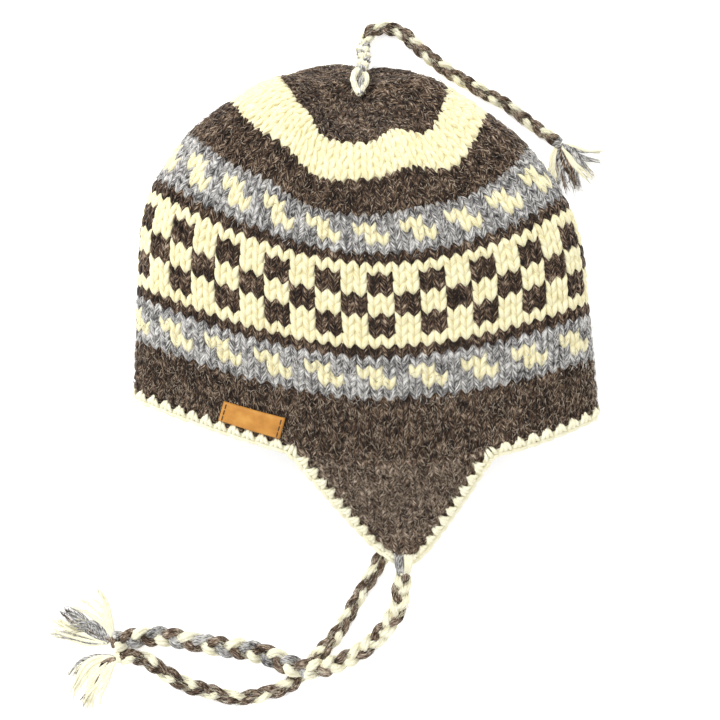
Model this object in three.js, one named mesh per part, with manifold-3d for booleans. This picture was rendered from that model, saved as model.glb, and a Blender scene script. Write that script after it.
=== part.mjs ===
// A knitted earflap hat, a chullo, lying on its side on a flat surface: +X is the back of the head,
// +Y the crown and +Z up from the surface. Lengths are in millimetres.
import * as THREE from 'three';
import { mergeVertices } from 'three/addons/utils/BufferGeometryUtils.js';
import Module from 'manifold-3d';

const wasm = await Module();
wasm.setup();

// The laid hat
const HAT_WIDTH = 254;         // across the brim, fold to fold
const HAT_LENGTH = 172.5;      // from the crown's centre to the brim, along Y
const HAT_HEIGHT = 84;         // the dome's highest place, which the other heights are shares of
const LAYER_SLIP = 20;         // how far the upper layer lies below the middle, and the lower one above it
const HAT_TILT = 0.04;         // how much lower the rows lie at the back, in millimetres for each across
const HAT_LEAN = 0.028;        // how far the rows move towards the back, in millimetres for each down
const CROWN_X = -2.5;          // where that starts
const COURSES = 40;            // rows of knitting from the crown to the brim
const KNIT_WALL = 5;           // thick hand-spun yarn, one layer
const GAP = 0.3;               // between pieces that touch
const EDGING_GAP = 1;          // a little more where the edging turns the folds
const ROUND = 0.8;             // 1 makes the section an ellipse, less makes it fuller
const UNDER_BOW = 3;           // how evenly the lower layer has slipped between the folds

// Earflaps
const FLAP_BASE = 104;         // along the brim
const FLAP_TIP = 16;           // across the blunt tip
const FLAP_LENGTH = 64;        // along the fabric
const FLAP_X = 15.5;           // its middle lies towards the back
const FLAP_DRIFT = 7.5;        // and its tip a little further
const UPPER_TIP_Z = 15.2;      // the upper flap's outer face at its tip, which lies on the lower cord
const FLAP_EASE = 0.62;        // the part of its sinking that eases in and out, the rest is even
const TIP_ROUNDING = 0.25;     // how far the tip's corners are drawn back, as a share of FLAP_TIP

// Edging, label, cords and tassels
const EDGING_ROUND = 5.4;      // diameter of the crocheted edge
const EDGING_CORNER = 5.9;     // how far the edge keeps from the corner between brim and flap
const LABEL_LENGTH = 33;
const LABEL_WIDTH = 11;
const LABEL_THICK = 1.4;
const LABEL_X = -59;           // its middle
const LABEL_SLANT = 0.29;      // its short ends lean this much towards the back on their way up
const LABEL_ABOVE_BRIM = 2.2;  // from its lower edge to the end of the knitting
const TIE_DIAMETER = 8.4;
const TOP_BRAID_DIAMETER = 6.8;
const TASSEL_HEAD = 8;
const LOCK_THICK = 7;

const BROWN = '#3f332c';
const CREAM = '#f5f0d8';
const GREY = '#a9a8a4';
const TAN = '#d29b4d';

// One row for each course: the section's width as a share of HAT_WIDTH, how far the folds and the middle
// lie from the crown as shares of HAT_LENGTH, the upper and lower faces as shares of HAT_HEIGHT, the share
// of LAYER_SLIP, and how squarely the row bows towards its front and its back fold. A lower face below
// zero is pressed flat by the surface.
const SECTIONS = [
  {
    course: 0, width: 0, side: -0.028, middle: -0.028,
    top: 0.47, bottom: 0.47, slip: 0, front: 4, back: 4,
  },
  {
    course: 4, width: 0.165, side: -0.028, middle: 0.002,
    top: 0.69, bottom: 0.2, slip: 0.7, front: 4, back: 4,
  },
  {
    course: 9, width: 0.37, side: -0.022, middle: 0.054,
    top: 0.92, bottom: -0.04, slip: 1.2, front: 2.6, back: 4.5,
  },
  {
    course: 13, width: 0.552, side: 0.06, middle: 0.184,
    top: 1, bottom: -0.06, slip: 1.05, front: 1.8, back: 3.8,
  },
  {
    course: 17, width: 0.728, side: 0.166, middle: 0.294,
    top: 0.985, bottom: -0.06, slip: 1, front: 1.75, back: 2.85,
  },
  {
    course: 21, width: 0.872, side: 0.313, middle: 0.415,
    top: 0.945, bottom: -0.06, slip: 1, front: 1.75, back: 2.2,
  },
  {
    course: 31, width: 0.972, side: 0.682, middle: 0.733,
    top: 0.78, bottom: -0.06, slip: 1, front: 1.75, back: 1.75,
  },
  {
    course: 35, width: 0.984, side: 0.82, middle: 0.86,
    top: 0.69, bottom: -0.06, slip: 1, front: 1.7, back: 1.8,
  },
  {
    course: 40, width: 1, side: 0.98, middle: 1.05,
    top: 0.59, bottom: -0.06, slip: 1, front: 1.4, back: 2,
  },
];

// The routes that the three braids take, in millimetres from the crown's centre
const UPPER_TIE = [
  [23, -263.5, 8.5], [22.8, -268, 6.3], [21.6, -274, 5.0], [20.8, -283, 4.5], [16.6, -290.5, 4.3],
  [10.0, -299.5, 4.3], [2.2, -306.5, 4.8], [-7.6, -312, 7.2], [-18.5, -316.0, 11.0], [-28.5, -317.4, 13.3],
  [-39.5, -315.4, 11.5], [-49.2, -311.5, 7.4], [-59.2, -308.8, 4.9], [-69.4, -306.8, 4.3], [-78, -306, 4.3],
  [-90, -304, 4.3], [-101, -301.6, 4.3], [-110, -300.2, 4.3], [-120, -300.6, 4.3], [-129, -301.6, 4.3],
  [-136.5, -303.2, 4.3],
];
const LOWER_TIE = [
  [20.6, -233.6, 4.3], [17.6, -242.6, 4.3], [13.5, -251.5, 4.3], [8.6, -260.5, 4.3], [3.6, -269, 4.3],
  [-2.8, -280, 4.3], [-9.2, -291, 4.3], [-15.4, -301, 4.3], [-22.6, -309, 4.3], [-31, -318, 4.3],
  [-41, -327.5, 4.3], [-52, -331.5, 4.3], [-63.5, -334, 4.3], [-74.5, -333.8, 4.3], [-86, -330.5, 4.3],
  [-96.5, -327.5, 4.3], [-104, -323.5, 4.3], [-112, -318.5, 4.3], [-119.5, -313.6, 4.3], [-127, -311.4, 4.3],
  [-133.5, -311.8, 4.3],
];
const TOP_BRAID = [
  [-1.5, -4.8, 54.8], [-1.6, 0.2, 50.4], [-1.2, 4.6, 46.4], [-0.6, 8.9, 41.4], [0, 12.2, 35.8],
  [0.8, 15.6, 29.6], [1.2, 19.6, 21.6], [0.6, 23.6, 13.2],
  [0.8, 27.2, 7.2], [2.6, 32.4, 4.3], [5.8, 35.8, 3.5], [10.6, 37.4, 3.5], [16.6, 36.8, 3.5],
  [23.4, 34, 3.5], [29, 28.6, 3.5], [36.8, 21.8, 3.5], [47, 14.1, 3.5], [58.5, 6.8, 3.5],
  [69.6, 0.6, 3.5], [79, -4.4, 3.5], [89.2, -12.2, 3.5], [99.2, -19.4, 3.5], [107.5, -25.2, 3.5],
];

// The locks of each tassel: the direction in degrees from +X, the length, and the thickness as a share of
// LOCK_THICK
const UPPER_TASSEL = [
  { turn: 172, length: 28, thick: 0.9 }, { turn: 155, length: 32, thick: 1.0 },
  { turn: 138, length: 37, thick: 1.1 }, { turn: 118, length: 37, thick: 1.1 },
  { turn: 99, length: 34, thick: 0.9 },
];
const LOWER_TASSEL = [
  { turn: 184, length: 28, thick: 0.9 }, { turn: 202, length: 27, thick: 1.0 },
  { turn: 220, length: 27, thick: 1.1 }, { turn: 243, length: 30, thick: 1.1 },
  { turn: 263, length: 25, thick: 0.9 },
];
const TOP_TASSEL = [
  { turn: 258, length: 24, thick: 0.9 }, { turn: 282, length: 27, thick: 1.1 },
  { turn: 305, length: 30, thick: 1.2 }, { turn: 330, length: 29, thick: 0.9 },
];

// A smooth curve through one column of SECTIONS
function sectionValue(course, column) {
  const last = SECTIONS.length - 1;
  const slope = (i) => (SECTIONS[i + 1][column] - SECTIONS[i][column])
    / (SECTIONS[i + 1].course - SECTIONS[i].course);
  const tangent = (i) => {
    if (i === 0) return slope(0);
    if (i === last) return slope(last - 1);
    const before = SECTIONS[i].course - SECTIONS[i - 1].course;
    const after = SECTIONS[i + 1].course - SECTIONS[i].course;
    return (slope(i - 1) * after + slope(i) * before) / (before + after);
  };
  let i = 0;
  while (i < last - 1 && course >= SECTIONS[i + 1].course) i += 1;
  const step = SECTIONS[i + 1].course - SECTIONS[i].course;
  const t = (course - SECTIONS[i].course) / step;
  const t2 = t * t;
  const t3 = t2 * t;
  return (2 * t3 - 3 * t2 + 1) * SECTIONS[i][column] + (t3 - 2 * t2 + t) * step * tangent(i)
    + (3 * t2 - 2 * t3) * SECTIONS[i + 1][column] + (t3 - t2) * step * tangent(i + 1);
}

function signedPower(value, power) {
  return Math.sign(value) * Math.abs(value) ** power;
}

function rowMiddleX(course) {
  return CROWN_X + HAT_LEAN * HAT_LENGTH * sectionValue(course, 'side');
}

// The knitting's outer face at a turn round the section, 0 at the back fold and a quarter at the top
function hatFace(turn, course) {
  const share = (column) => sectionValue(course, column);
  const across = signedPower(Math.cos(turn), ROUND);
  const up = signedPower(Math.sin(turn), ROUND);
  const bow = 1 - Math.abs(across) ** share(across > 0 ? 'back' : 'front');
  const x = HAT_WIDTH / 2 * share('width') * across;
  const along = share('side') + bow * (share('middle') - share('side'));
  const slipBow = up > 0 ? bow : Math.abs(across) ** UNDER_BOW - 1;
  const slip = slipBow * LAYER_SLIP * share('slip');
  const middle = (share('top') + share('bottom')) / 2;
  const half = (share('top') - share('bottom')) / 2;
  return new THREE.Vector3(
    rowMiddleX(course) + x, -HAT_LENGTH * along - slip - HAT_TILT * x, HAT_HEIGHT * (middle + half * up));
}

// The turn at which a row passes over x, on the upper side or the lower
function turnOver(x, course, side) {
  const share = (x - rowMiddleX(course)) / (HAT_WIDTH / 2 * sectionValue(course, 'width'));
  return side * Math.acos(signedPower(THREE.MathUtils.clamp(share, -1, 1), 1 / ROUND));
}

function laid(point) {
  return new THREE.Vector3(point.x, point.y, Math.max(point.z, 0));
}

function hatNormal(turn, course) {
  const step = 0.02;
  const round = hatFace(turn + step, course).sub(hatFace(turn - step, course));
  const along = hatFace(turn, course + step).sub(hatFace(turn, course - step));
  return round.cross(along).normalize();
}

function solidFrom(positions, triangles) {
  const geometry = new THREE.BufferGeometry();
  geometry.setAttribute('position', new THREE.Float32BufferAttribute(positions, 3));
  geometry.setIndex(triangles);
  return geometry;
}

// A closed skin over rings of points that run from one end to the other, with a point at each end
function skinOverRings(start, rings, end) {
  const points = [start, ...rings.flat(), end];
  const size = rings[0].length;
  const triangles = [];
  for (let i = 0; i < size; i += 1) {
    const next = (i + 1) % size;
    triangles.push(0, 1 + i, 1 + next);
    for (let row = 0; row < rings.length - 1; row += 1) {
      const a = 1 + row * size;
      const b = a + size;
      triangles.push(a + i, b + i, b + next, a + i, b + next, a + next);
    }
    const lastRing = 1 + (rings.length - 1) * size;
    triangles.push(points.length - 1, lastRing + next, lastRing + i);
  }
  return solidFrom(points.flatMap((p) => p.toArray()), triangles);
}

// A closed slab between an upper and a lower face, each a function of two shares
function slab(upper, lower, columns, rows) {
  const points = [];
  for (const face of [upper, lower]) {
    for (let j = 0; j <= rows; j += 1) {
      for (let i = 0; i <= columns; i += 1) points.push(face(i / columns, j / rows));
    }
  }
  const triangles = [];
  const under = (columns + 1) * (rows + 1);
  const at = (i, j) => j * (columns + 1) + i;
  const quad = (a, b, c, d) => triangles.push(a, b, c, a, c, d);
  for (let j = 0; j < rows; j += 1) {
    for (let i = 0; i < columns; i += 1) {
      quad(at(i, j), at(i + 1, j), at(i + 1, j + 1), at(i, j + 1));
      quad(under + at(i, j), under + at(i, j + 1), under + at(i + 1, j + 1), under + at(i + 1, j));
    }
    quad(at(0, j), at(0, j + 1), under + at(0, j + 1), under + at(0, j));
    quad(at(columns, j + 1), at(columns, j), under + at(columns, j), under + at(columns, j + 1));
  }
  for (let i = 0; i < columns; i += 1) {
    quad(at(i + 1, 0), at(i, 0), under + at(i, 0), under + at(i + 1, 0));
    quad(at(i, rows), at(i + 1, rows), under + at(i + 1, rows), under + at(i, rows));
  }
  return solidFrom(points.flatMap((p) => p.toArray()), triangles);
}

function outward(geometry) {
  const index = geometry.index;
  const position = geometry.attributes.position;
  const [a, b, c] = [new THREE.Vector3(), new THREE.Vector3(), new THREE.Vector3()];
  let volume = 0;
  for (let i = 0; i < index.count; i += 3) {
    a.fromBufferAttribute(position, index.getX(i));
    b.fromBufferAttribute(position, index.getX(i + 1));
    c.fromBufferAttribute(position, index.getX(i + 2));
    volume += a.dot(b.cross(c));
  }
  if (volume < 0) {
    for (let i = 0; i < index.count; i += 3) {
      const second = index.getX(i + 1);
      index.setX(i + 1, index.getX(i + 2));
      index.setX(i + 2, second);
    }
  }
  return geometry;
}

// The hat's body, a shell from the crown to the brim with its mouth open
function knitBody() {
  const columns = 56;
  const inset = (turn, course) => {
    const face = hatFace(turn, course).addScaledVector(hatNormal(turn, course), -KNIT_WALL);
    return new THREE.Vector3(face.x, face.y, Math.max(face.z, KNIT_WALL));
  };
  const courses = [1, 2.5, 4, 5.5, 7, 8.5, 10, 11.5, 13, 15, 17, 19, 21, 23.5, 26, 29, 32, 35, 38, COURSES];
  const ring = (make, course) => Array.from({ length: columns }, (_, i) => (
    make(2 * Math.PI * i / columns, course)));
  const outer = courses.map((course) => ring((turn, at) => laid(hatFace(turn, at)), course));
  const inner = courses.slice(1).map((course) => ring(inset, course)).reverse();
  const pole = hatFace(0, 0);
  const innerPole = inner[inner.length - 1].reduce((sum, p) => sum.add(p), new THREE.Vector3())
    .divideScalar(columns);
  innerPole.z = Math.min(innerPole.z, pole.z - KNIT_WALL);
  return outward(skinOverRings(pole, [...outer, ...inner], innerPole));
}

// A flap's outer face: across runs over -1..1, down from 0 at the brim to 1 at the tip
function flapFace(side, across, down) {
  const half = THREE.MathUtils.lerp(FLAP_BASE, FLAP_TIP, down) / 2;
  const x = FLAP_X + across * half;
  const brim = laid(hatFace(turnOver(x, COURSES, side), COURSES));
  const drop = side > 0 ? hatFace(Math.PI / 2, COURSES).z - UPPER_TIP_Z : 0;
  const reach = Math.sqrt(FLAP_LENGTH ** 2 - drop ** 2);
  const roundTip = TIP_ROUNDING * FLAP_TIP * across ** 2 * down ** 4;
  const sink = FLAP_EASE * (3 * down ** 2 - 2 * down ** 3) + (1 - FLAP_EASE) * down;
  const height = side > 0 ? THREE.MathUtils.lerp(brim.z, UPPER_TIP_Z, sink) : brim.z;
  return new THREE.Vector3(x + FLAP_DRIFT * down, brim.y - GAP - reach * down + roundTip, height);
}

// The flap is flat from side to side, so its middle line gives the normal
function flapNormal(side, down) {
  const step = 0.01;
  const round = flapFace(side, step, down).sub(flapFace(side, -step, down));
  const along = flapFace(side, 0, down + step).sub(flapFace(side, 0, down - step));
  return round.cross(along).normalize().multiplyScalar(-1);
}

function upperFlap() {
  const outer = (i, j) => flapFace(1, 2 * i - 1, j);
  const inner = (i, j) => outer(i, j).addScaledVector(flapNormal(1, j), -KNIT_WALL);
  return outward(slab(outer, inner, 10, 12));
}

function lowerFlap() {
  const outer = (i, j) => flapFace(-1, 2 * i - 1, j).setZ(0);
  const inner = (i, j) => outer(i, j).setZ(KNIT_WALL);
  return outward(slab(inner, outer, 10, 8));
}

// The crocheted edge: one closed cord round the brim and both flaps
function edging() {
  const radius = EDGING_ROUND / 2;
  const away = radius + EDGING_GAP;
  const middle = (face, normal) => face.clone().addScaledVector(normal, -KNIT_WALL / 2);
  const brimPoint = (x, side) => {
    const turn = turnOver(x, COURSES, side);
    const along = hatFace(turn, COURSES).sub(hatFace(turn, COURSES - 0.5)).normalize();
    return middle(hatFace(turn, COURSES), hatNormal(turn, COURSES)).addScaledVector(along, away);
  };
  const flapPoint = (side, across, down) => {
    const normal = flapNormal(side, down);
    const step = 0.02;
    const inward = flapFace(side, across, down + step).sub(flapFace(side, across, down - step));
    const sideways = inward.cross(normal).multiplyScalar(-across).normalize();
    return middle(flapFace(side, across, down), normal).addScaledVector(sideways, away);
  };
  const tipPoint = (side, across) => {
    const normal = flapNormal(side, 1);
    const along = flapFace(side, across, 1).sub(flapFace(side, across, 0.98)).normalize();
    return middle(flapFace(side, across, 1), normal).addScaledVector(along, away + EDGING_GAP);
  };
  const tipCorner = (side, across) => {
    const outwards = flapPoint(side, across, 1).add(tipPoint(side, across)).multiplyScalar(0.5)
      .sub(middle(flapFace(side, across, 1), flapNormal(side, 1))).normalize();
    return middle(flapFace(side, across, 1), flapNormal(side, 1)).addScaledVector(outwards, away + EDGING_GAP);
  };
  const fold = HAT_WIDTH / 2 * 0.999;
  const backFold = rowMiddleX(COURSES) + fold;
  const frontFold = rowMiddleX(COURSES) - fold;
  const flapBack = FLAP_X + FLAP_BASE / 2 + EDGING_CORNER;
  const flapFront = FLAP_X - FLAP_BASE / 2 - EDGING_CORNER;
  const brimSteps = 7;
  const flapSteps = 9;
  const flapStart = 0.12;
  const flapEnd = 0.9;
  const downs = Array.from({ length: flapSteps }, (_, i) => (
    THREE.MathUtils.lerp(flapStart, flapEnd, i / (flapSteps - 1))));
  const path = [];
  for (const side of [1, -1]) {
    const route = [];
    for (let i = 0; i <= brimSteps; i += 1) {
      const ease = Math.cos(i / brimSteps * Math.PI / 2);
      route.push(brimPoint(flapBack + (backFold - flapBack) * ease, side));
    }
    for (const down of downs) route.push(flapPoint(side, 1, down));
    route.push(tipCorner(side, 1));
    for (const across of [0.45, 0, -0.45]) route.push(tipPoint(side, across));
    route.push(tipCorner(side, -1));
    for (const down of [...downs].reverse()) route.push(flapPoint(side, -1, down));
    for (let i = 0; i <= brimSteps; i += 1) {
      const ease = 1 - Math.cos(i / brimSteps * Math.PI / 2);
      route.push(brimPoint(flapFront + (frontFold - flapFront) * ease, side));
    }
    path.push(...(side > 0 ? route : route.reverse()));
  }
  for (const point of path) point.z = Math.max(point.z, radius);
  const curve = new THREE.CatmullRomCurve3(path, true, 'centripetal');
  const steps = 124;
  const sides = 8;
  const tube = new THREE.TubeGeometry(curve, steps, radius, sides, true);
  const position = tube.attributes.position;
  for (let i = 0; i < position.count; i += 1) position.setZ(i, Math.max(position.getZ(i), 0));
  return tube;
}

// The leather label, a thin patch that follows the knitting just above the brim
function label() {
  const lastCourse = HAT_LENGTH * (sectionValue(COURSES, 'side') - sectionValue(COURSES - 1, 'side'));
  const patch = (rise) => (i, j) => {
    const up = (1 - j) * LABEL_WIDTH;
    const x = LABEL_X + (i - 0.5) * LABEL_LENGTH + LABEL_SLANT * (up - LABEL_WIDTH / 2);
    const course = COURSES - (LABEL_ABOVE_BRIM + up) / lastCourse;
    const turn = turnOver(x, course, 1);
    return hatFace(turn, course).addScaledVector(hatNormal(turn, course), rise);
  };
  return outward(slab(patch(GAP + LABEL_THICK), patch(GAP), 8, 3));
}

function braid(route, diameter, steps) {
  const curve = new THREE.CatmullRomCurve3(route.map((p) => new THREE.Vector3(...p)), false, 'centripetal');
  const section = new THREE.Shape();
  const sides = 8;
  for (let i = 0; i < sides; i += 1) {
    const angle = 2 * Math.PI * i / sides;
    const x = Math.cos(angle) * diameter / 2;
    const y = Math.sin(angle) * diameter / 2;
    if (i === 0) section.moveTo(x, y);
    else section.lineTo(x, y);
  }
  section.closePath();
  return new THREE.ExtrudeGeometry(section, { steps, curveSegments: 1, extrudePath: curve });
}

function asManifold(geometry) {
  const bare = geometry.clone();
  bare.deleteAttribute('normal');
  bare.deleteAttribute('uv');
  const merged = mergeVertices(bare, 1e-4);
  return new wasm.Manifold(new wasm.Mesh({
    numProp: 3,
    vertProperties: new Float32Array(merged.attributes.position.array),
    triVerts: new Uint32Array(merged.index.array),
  }));
}

function fromManifold(solid) {
  const mesh = solid.getMesh();
  return solidFrom(Array.from(mesh.vertProperties), Array.from(mesh.triVerts));
}

// A lock of yarn: round where it leaves the head, fuller at its middle and blunt at its end
function lock(length, thick) {
  const profile = [[0, 0], [0.30, 0], [0.42, 0.35], [0.5, 0.7], [0.34, 0.94], [0, 1]];
  const points = profile.map(([radius, along]) => new THREE.Vector2(radius * thick, along * length));
  return new THREE.LatheGeometry(points, 8);
}

// A tassel at the end of a braid: locks laid out like a fan on the surface and fused to a small round head
function tassel(route, locks) {
  const [before, end] = route.slice(-2).map((p) => new THREE.Vector3(...p));
  const centre = end.clone().addScaledVector(end.clone().sub(before).normalize(), TASSEL_HEAD / 2 + GAP);
  centre.z = Math.max(centre.z, TASSEL_HEAD / 2 + GAP);
  const head = new THREE.SphereGeometry(TASSEL_HEAD / 2, 10, 8);
  head.translate(centre.x, centre.y, centre.z);
  let solid = asManifold(head);
  for (const { turn, length, thick } of locks) {
    const shape = lock(length, thick * LOCK_THICK);
    const angle = THREE.MathUtils.degToRad(turn);
    const rest = thick * LOCK_THICK / 2 + GAP;
    const lean = Math.asin((rest - centre.z) / length);
    const direction = new THREE.Vector3(
      Math.cos(angle) * Math.cos(lean), Math.sin(angle) * Math.cos(lean), Math.sin(lean));
    shape.applyQuaternion(new THREE.Quaternion().setFromUnitVectors(new THREE.Vector3(0, 1, 0), direction));
    shape.translate(centre.x, centre.y, centre.z);
    solid = solid.add(asManifold(shape));
  }
  return fromManifold(solid);
}

function piece(name, geometry, color, roughness) {
  const material = new THREE.MeshStandardMaterial({ color, roughness, metalness: 0 });
  const mesh = new THREE.Mesh(geometry, material);
  mesh.name = name;
  return mesh;
}

const hat = new THREE.Group();
hat.add(
  piece('knit_body', knitBody(), BROWN, 0.95),
  piece('earflap_upper', upperFlap(), BROWN, 0.95),
  piece('earflap_lower', lowerFlap(), BROWN, 0.95),
  piece('crochet_edging', edging(), CREAM, 0.9),
  piece('leather_label', label(), TAN, 0.6),
);

const cords = new THREE.Group();
cords.add(
  piece('upper_tie', braid(UPPER_TIE, TIE_DIAMETER, 56), CREAM, 0.9),
  piece('lower_tie', braid(LOWER_TIE, TIE_DIAMETER, 56), GREY, 0.9),
  piece('top_braid', braid(TOP_BRAID, TOP_BRAID_DIAMETER, 54), GREY, 0.9),
  piece('upper_tassel', tassel(UPPER_TIE, UPPER_TASSEL), CREAM, 0.95),
  piece('lower_tassel', tassel(LOWER_TIE, LOWER_TASSEL), CREAM, 0.95),
  piece('top_tassel', tassel(TOP_BRAID, TOP_TASSEL), CREAM, 0.95),
);

// The origin is the middle of the hat's footprint, without its cords
const footprint = new THREE.Box3().setFromObject(hat, true);
const footprintMiddle = footprint.getCenter(new THREE.Vector3());
const part = new THREE.Group();
part.add(hat, cords);
part.position.set(-footprintMiddle.x, -footprintMiddle.y, 0);
part.updateMatrixWorld(true);

export default part;
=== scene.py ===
"""A hand-knitted chullo lying on its side, seen from straight above. Every stitch is a pair of yarn legs laid
on the same formula that shapes the solid: a table of sections from the crown to the brim, with a smooth curve
through each column. Lengths are in millimetres from the crown's centre, and MM turns them to metres."""
import math
from functools import partial

import bpy
import numpy as np
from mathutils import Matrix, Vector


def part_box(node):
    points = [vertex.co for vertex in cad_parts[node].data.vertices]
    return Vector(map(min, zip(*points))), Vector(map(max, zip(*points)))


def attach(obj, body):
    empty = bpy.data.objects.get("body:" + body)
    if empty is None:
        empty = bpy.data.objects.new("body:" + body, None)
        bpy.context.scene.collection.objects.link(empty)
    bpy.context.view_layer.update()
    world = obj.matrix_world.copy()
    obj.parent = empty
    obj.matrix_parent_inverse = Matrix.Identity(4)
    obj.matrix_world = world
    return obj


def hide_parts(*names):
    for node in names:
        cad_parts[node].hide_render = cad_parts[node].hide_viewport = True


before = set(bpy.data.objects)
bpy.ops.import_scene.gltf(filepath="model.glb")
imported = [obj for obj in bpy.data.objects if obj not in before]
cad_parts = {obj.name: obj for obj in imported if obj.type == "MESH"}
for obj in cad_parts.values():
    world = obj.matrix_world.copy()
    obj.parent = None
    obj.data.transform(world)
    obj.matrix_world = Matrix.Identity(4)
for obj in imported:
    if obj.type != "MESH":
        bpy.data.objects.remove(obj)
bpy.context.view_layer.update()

MM = 0.001
UP = np.array([0.0, 0.0, 1.0])
chance = np.random.default_rng(7)

# The laid hat, how far its brim tilts and its middle leans, and its courses of stitches from crown to brim
HAT_WIDTH = 254.0
HAT_LENGTH = 172.5
HAT_HEIGHT = 84.0
LAYER_SLIP = 20.0
HAT_TILT = 0.04
HAT_LEAN = 0.028
CROWN_X = -2.5
COURSES = 40
KNIT_WALL = 5.0

# The powers that shape a section: how full its ellipse is, and how squarely its lower layer bows
ROUND = 0.8
UNDER_BOW = 3.0

# Earflaps, and the crocheted edge that runs round them
FLAP_BASE = 104.0
FLAP_TIP = 16.0
FLAP_LENGTH = 64.0
FLAP_X = 15.5
FLAP_DRIFT = 7.5
FLAP_GAP = 0.3
UPPER_TIP_Z = 15.2
FLAP_EASE = 0.62
TIP_ROUNDING = 0.25
FLAP_COURSES = 12
EDGING_ROUND = 5.4

# Knitting: the stitches round the brim and the sections they are decreased in, a stitch's and a course's
# size, the yarn's half width and half height, and where the columns start beside the hat's middle
STITCHES = 80
SECTORS = 8
STITCH_WIDTH = 6.85
COURSE_LENGTH = 5.4
YARN_WIDTH = 1.78
YARN_HEIGHT = 1.5
COLUMN_SHIFT = 0.43
FIRST_COLUMN = COLUMN_SHIFT / STITCHES

BROWN, GREY, CREAM = 0, 1, 2

# Small steps from which a face's directions are taken: a share of the way round, a part of a course,
# millimetres across a flap, and a share of the way down it
SHARE_STEP = 0.0015
COURSE_STEP = 0.05
LATERAL_STEP = 0.2
DOWN_STEP = 0.004

# The section's width, how far its folds and its middle lie from the crown, its upper and lower faces, the
# share of the slip between the layers, and how squarely it bows to its front and its back fold
SECTION_NAMES = ["course", "width", "side", "middle", "top", "bottom", "slip", "front", "back"]
SECTIONS = np.array([
    [0, 0.0, -0.028, -0.028, 0.47, 0.47, 0.0, 4.0, 4.0],
    [4, 0.165, -0.028, 0.002, 0.69, 0.20, 0.7, 4.0, 4.0],
    [9, 0.37, -0.022, 0.054, 0.92, -0.04, 1.2, 2.6, 4.5],
    [13, 0.552, 0.060, 0.184, 1.0, -0.06, 1.05, 1.8, 3.8],
    [17, 0.728, 0.166, 0.294, 0.985, -0.06, 1.0, 1.75, 2.85],
    [21, 0.872, 0.313, 0.415, 0.945, -0.06, 1.0, 1.75, 2.2],
    [31, 0.972, 0.682, 0.733, 0.78, -0.06, 1.0, 1.75, 1.75],
    [35, 0.984, 0.820, 0.860, 0.69, -0.06, 1.0, 1.7, 1.8],
    [40, 1.0, 0.980, 1.05, 0.59, -0.06, 1.0, 1.4, 2.0],
])

# The routes of the three braids, as in the part's source
UPPER_TIE = [
    (23, -263.5, 8.5), (22.8, -268, 6.3), (21.6, -274, 5.0), (20.8, -283, 4.5), (16.6, -290.5, 4.3),
    (10.0, -299.5, 4.3), (2.2, -306.5, 4.8), (-7.6, -312, 7.2), (-18.5, -316.0, 11.0),
    (-28.5, -317.4, 13.3), (-39.5, -315.4, 11.5), (-49.2, -311.5, 7.4), (-59.2, -308.8, 4.9),
    (-69.4, -306.8, 4.3), (-78, -306, 4.3), (-90, -304, 4.3), (-101, -301.6, 4.3), (-110, -300.2, 4.3),
    (-120, -300.6, 4.3), (-129, -301.6, 4.3), (-136.5, -303.2, 4.3),
]
LOWER_TIE = [
    (20.6, -233.6, 4.3), (17.6, -242.6, 4.3), (13.5, -251.5, 4.3), (8.6, -260.5, 4.3), (3.6, -269, 4.3),
    (-2.8, -280, 4.3), (-9.2, -291, 4.3), (-15.4, -301, 4.3), (-22.6, -309, 4.3), (-31, -318, 4.3),
    (-41, -327.5, 4.3), (-52, -331.5, 4.3), (-63.5, -334, 4.3), (-74.5, -333.8, 4.3), (-86, -330.5, 4.3),
    (-96.5, -327.5, 4.3), (-104, -323.5, 4.3), (-112, -318.5, 4.3), (-119.5, -313.6, 4.3),
    (-127, -311.4, 4.3), (-133.5, -311.8, 4.3),
]
TOP_BRAID = [
    (-1.5, -4.8, 54.8), (-1.6, 0.2, 50.4), (-1.2, 4.6, 46.4), (-0.6, 8.9, 41.4), (0, 12.2, 35.8),
    (0.8, 15.6, 29.6), (1.2, 19.6, 21.6), (0.6, 23.6, 13.2),
    (0.8, 27.2, 7.2), (2.6, 32.4, 4.3), (5.8, 35.8, 3.5), (10.6, 37.4, 3.5), (16.6, 36.8, 3.5),
    (23.4, 34, 3.5), (29, 28.6, 3.5), (36.8, 21.8, 3.5), (47, 14.1, 3.5), (58.5, 6.8, 3.5),
    (69.6, 0.6, 3.5), (79, -4.4, 3.5), (89.2, -12.2, 3.5), (99.2, -19.4, 3.5), (107.5, -25.2, 3.5),
]


# Shape of the hat

def section_value(course, name):
    """One column of SECTIONS as a smooth cubic curve whose slope at each row is the parabola's through its
    neighbours."""
    x = SECTIONS[:, 0]
    y = SECTIONS[:, SECTION_NAMES.index(name)]
    step = np.diff(x)
    slope = np.diff(y) / step
    inner = (slope[:-1] * step[1:] + slope[1:] * step[:-1]) / (step[:-1] + step[1:])
    tangent = np.concatenate([slope[:1], inner, slope[-1:]])
    course = np.asarray(course, float)
    i = np.clip(np.searchsorted(x, course, side="right") - 1, 0, len(x) - 2)
    t = (course - x[i]) / step[i]
    return ((2 * t**3 - 3 * t**2 + 1) * y[i] + (t**3 - 2 * t**2 + t) * step[i] * tangent[i]
            + (3 * t**2 - 2 * t**3) * y[i + 1] + (t**3 - t**2) * step[i] * tangent[i + 1])


def signed_power(value, power):
    """A power of a value's size that keeps the value's sign."""
    return np.sign(value) * np.abs(value) ** power


def eased(share):
    """A share that starts and stops gently: three of its squares less two of its cubes."""
    return share * share * (3 - 2 * share)


def row_middle_x(course):
    """The middle of a row across the hat, which leans with the way from the crown."""
    return CROWN_X + HAT_LEAN * HAT_LENGTH * section_value(course, "side")


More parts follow.
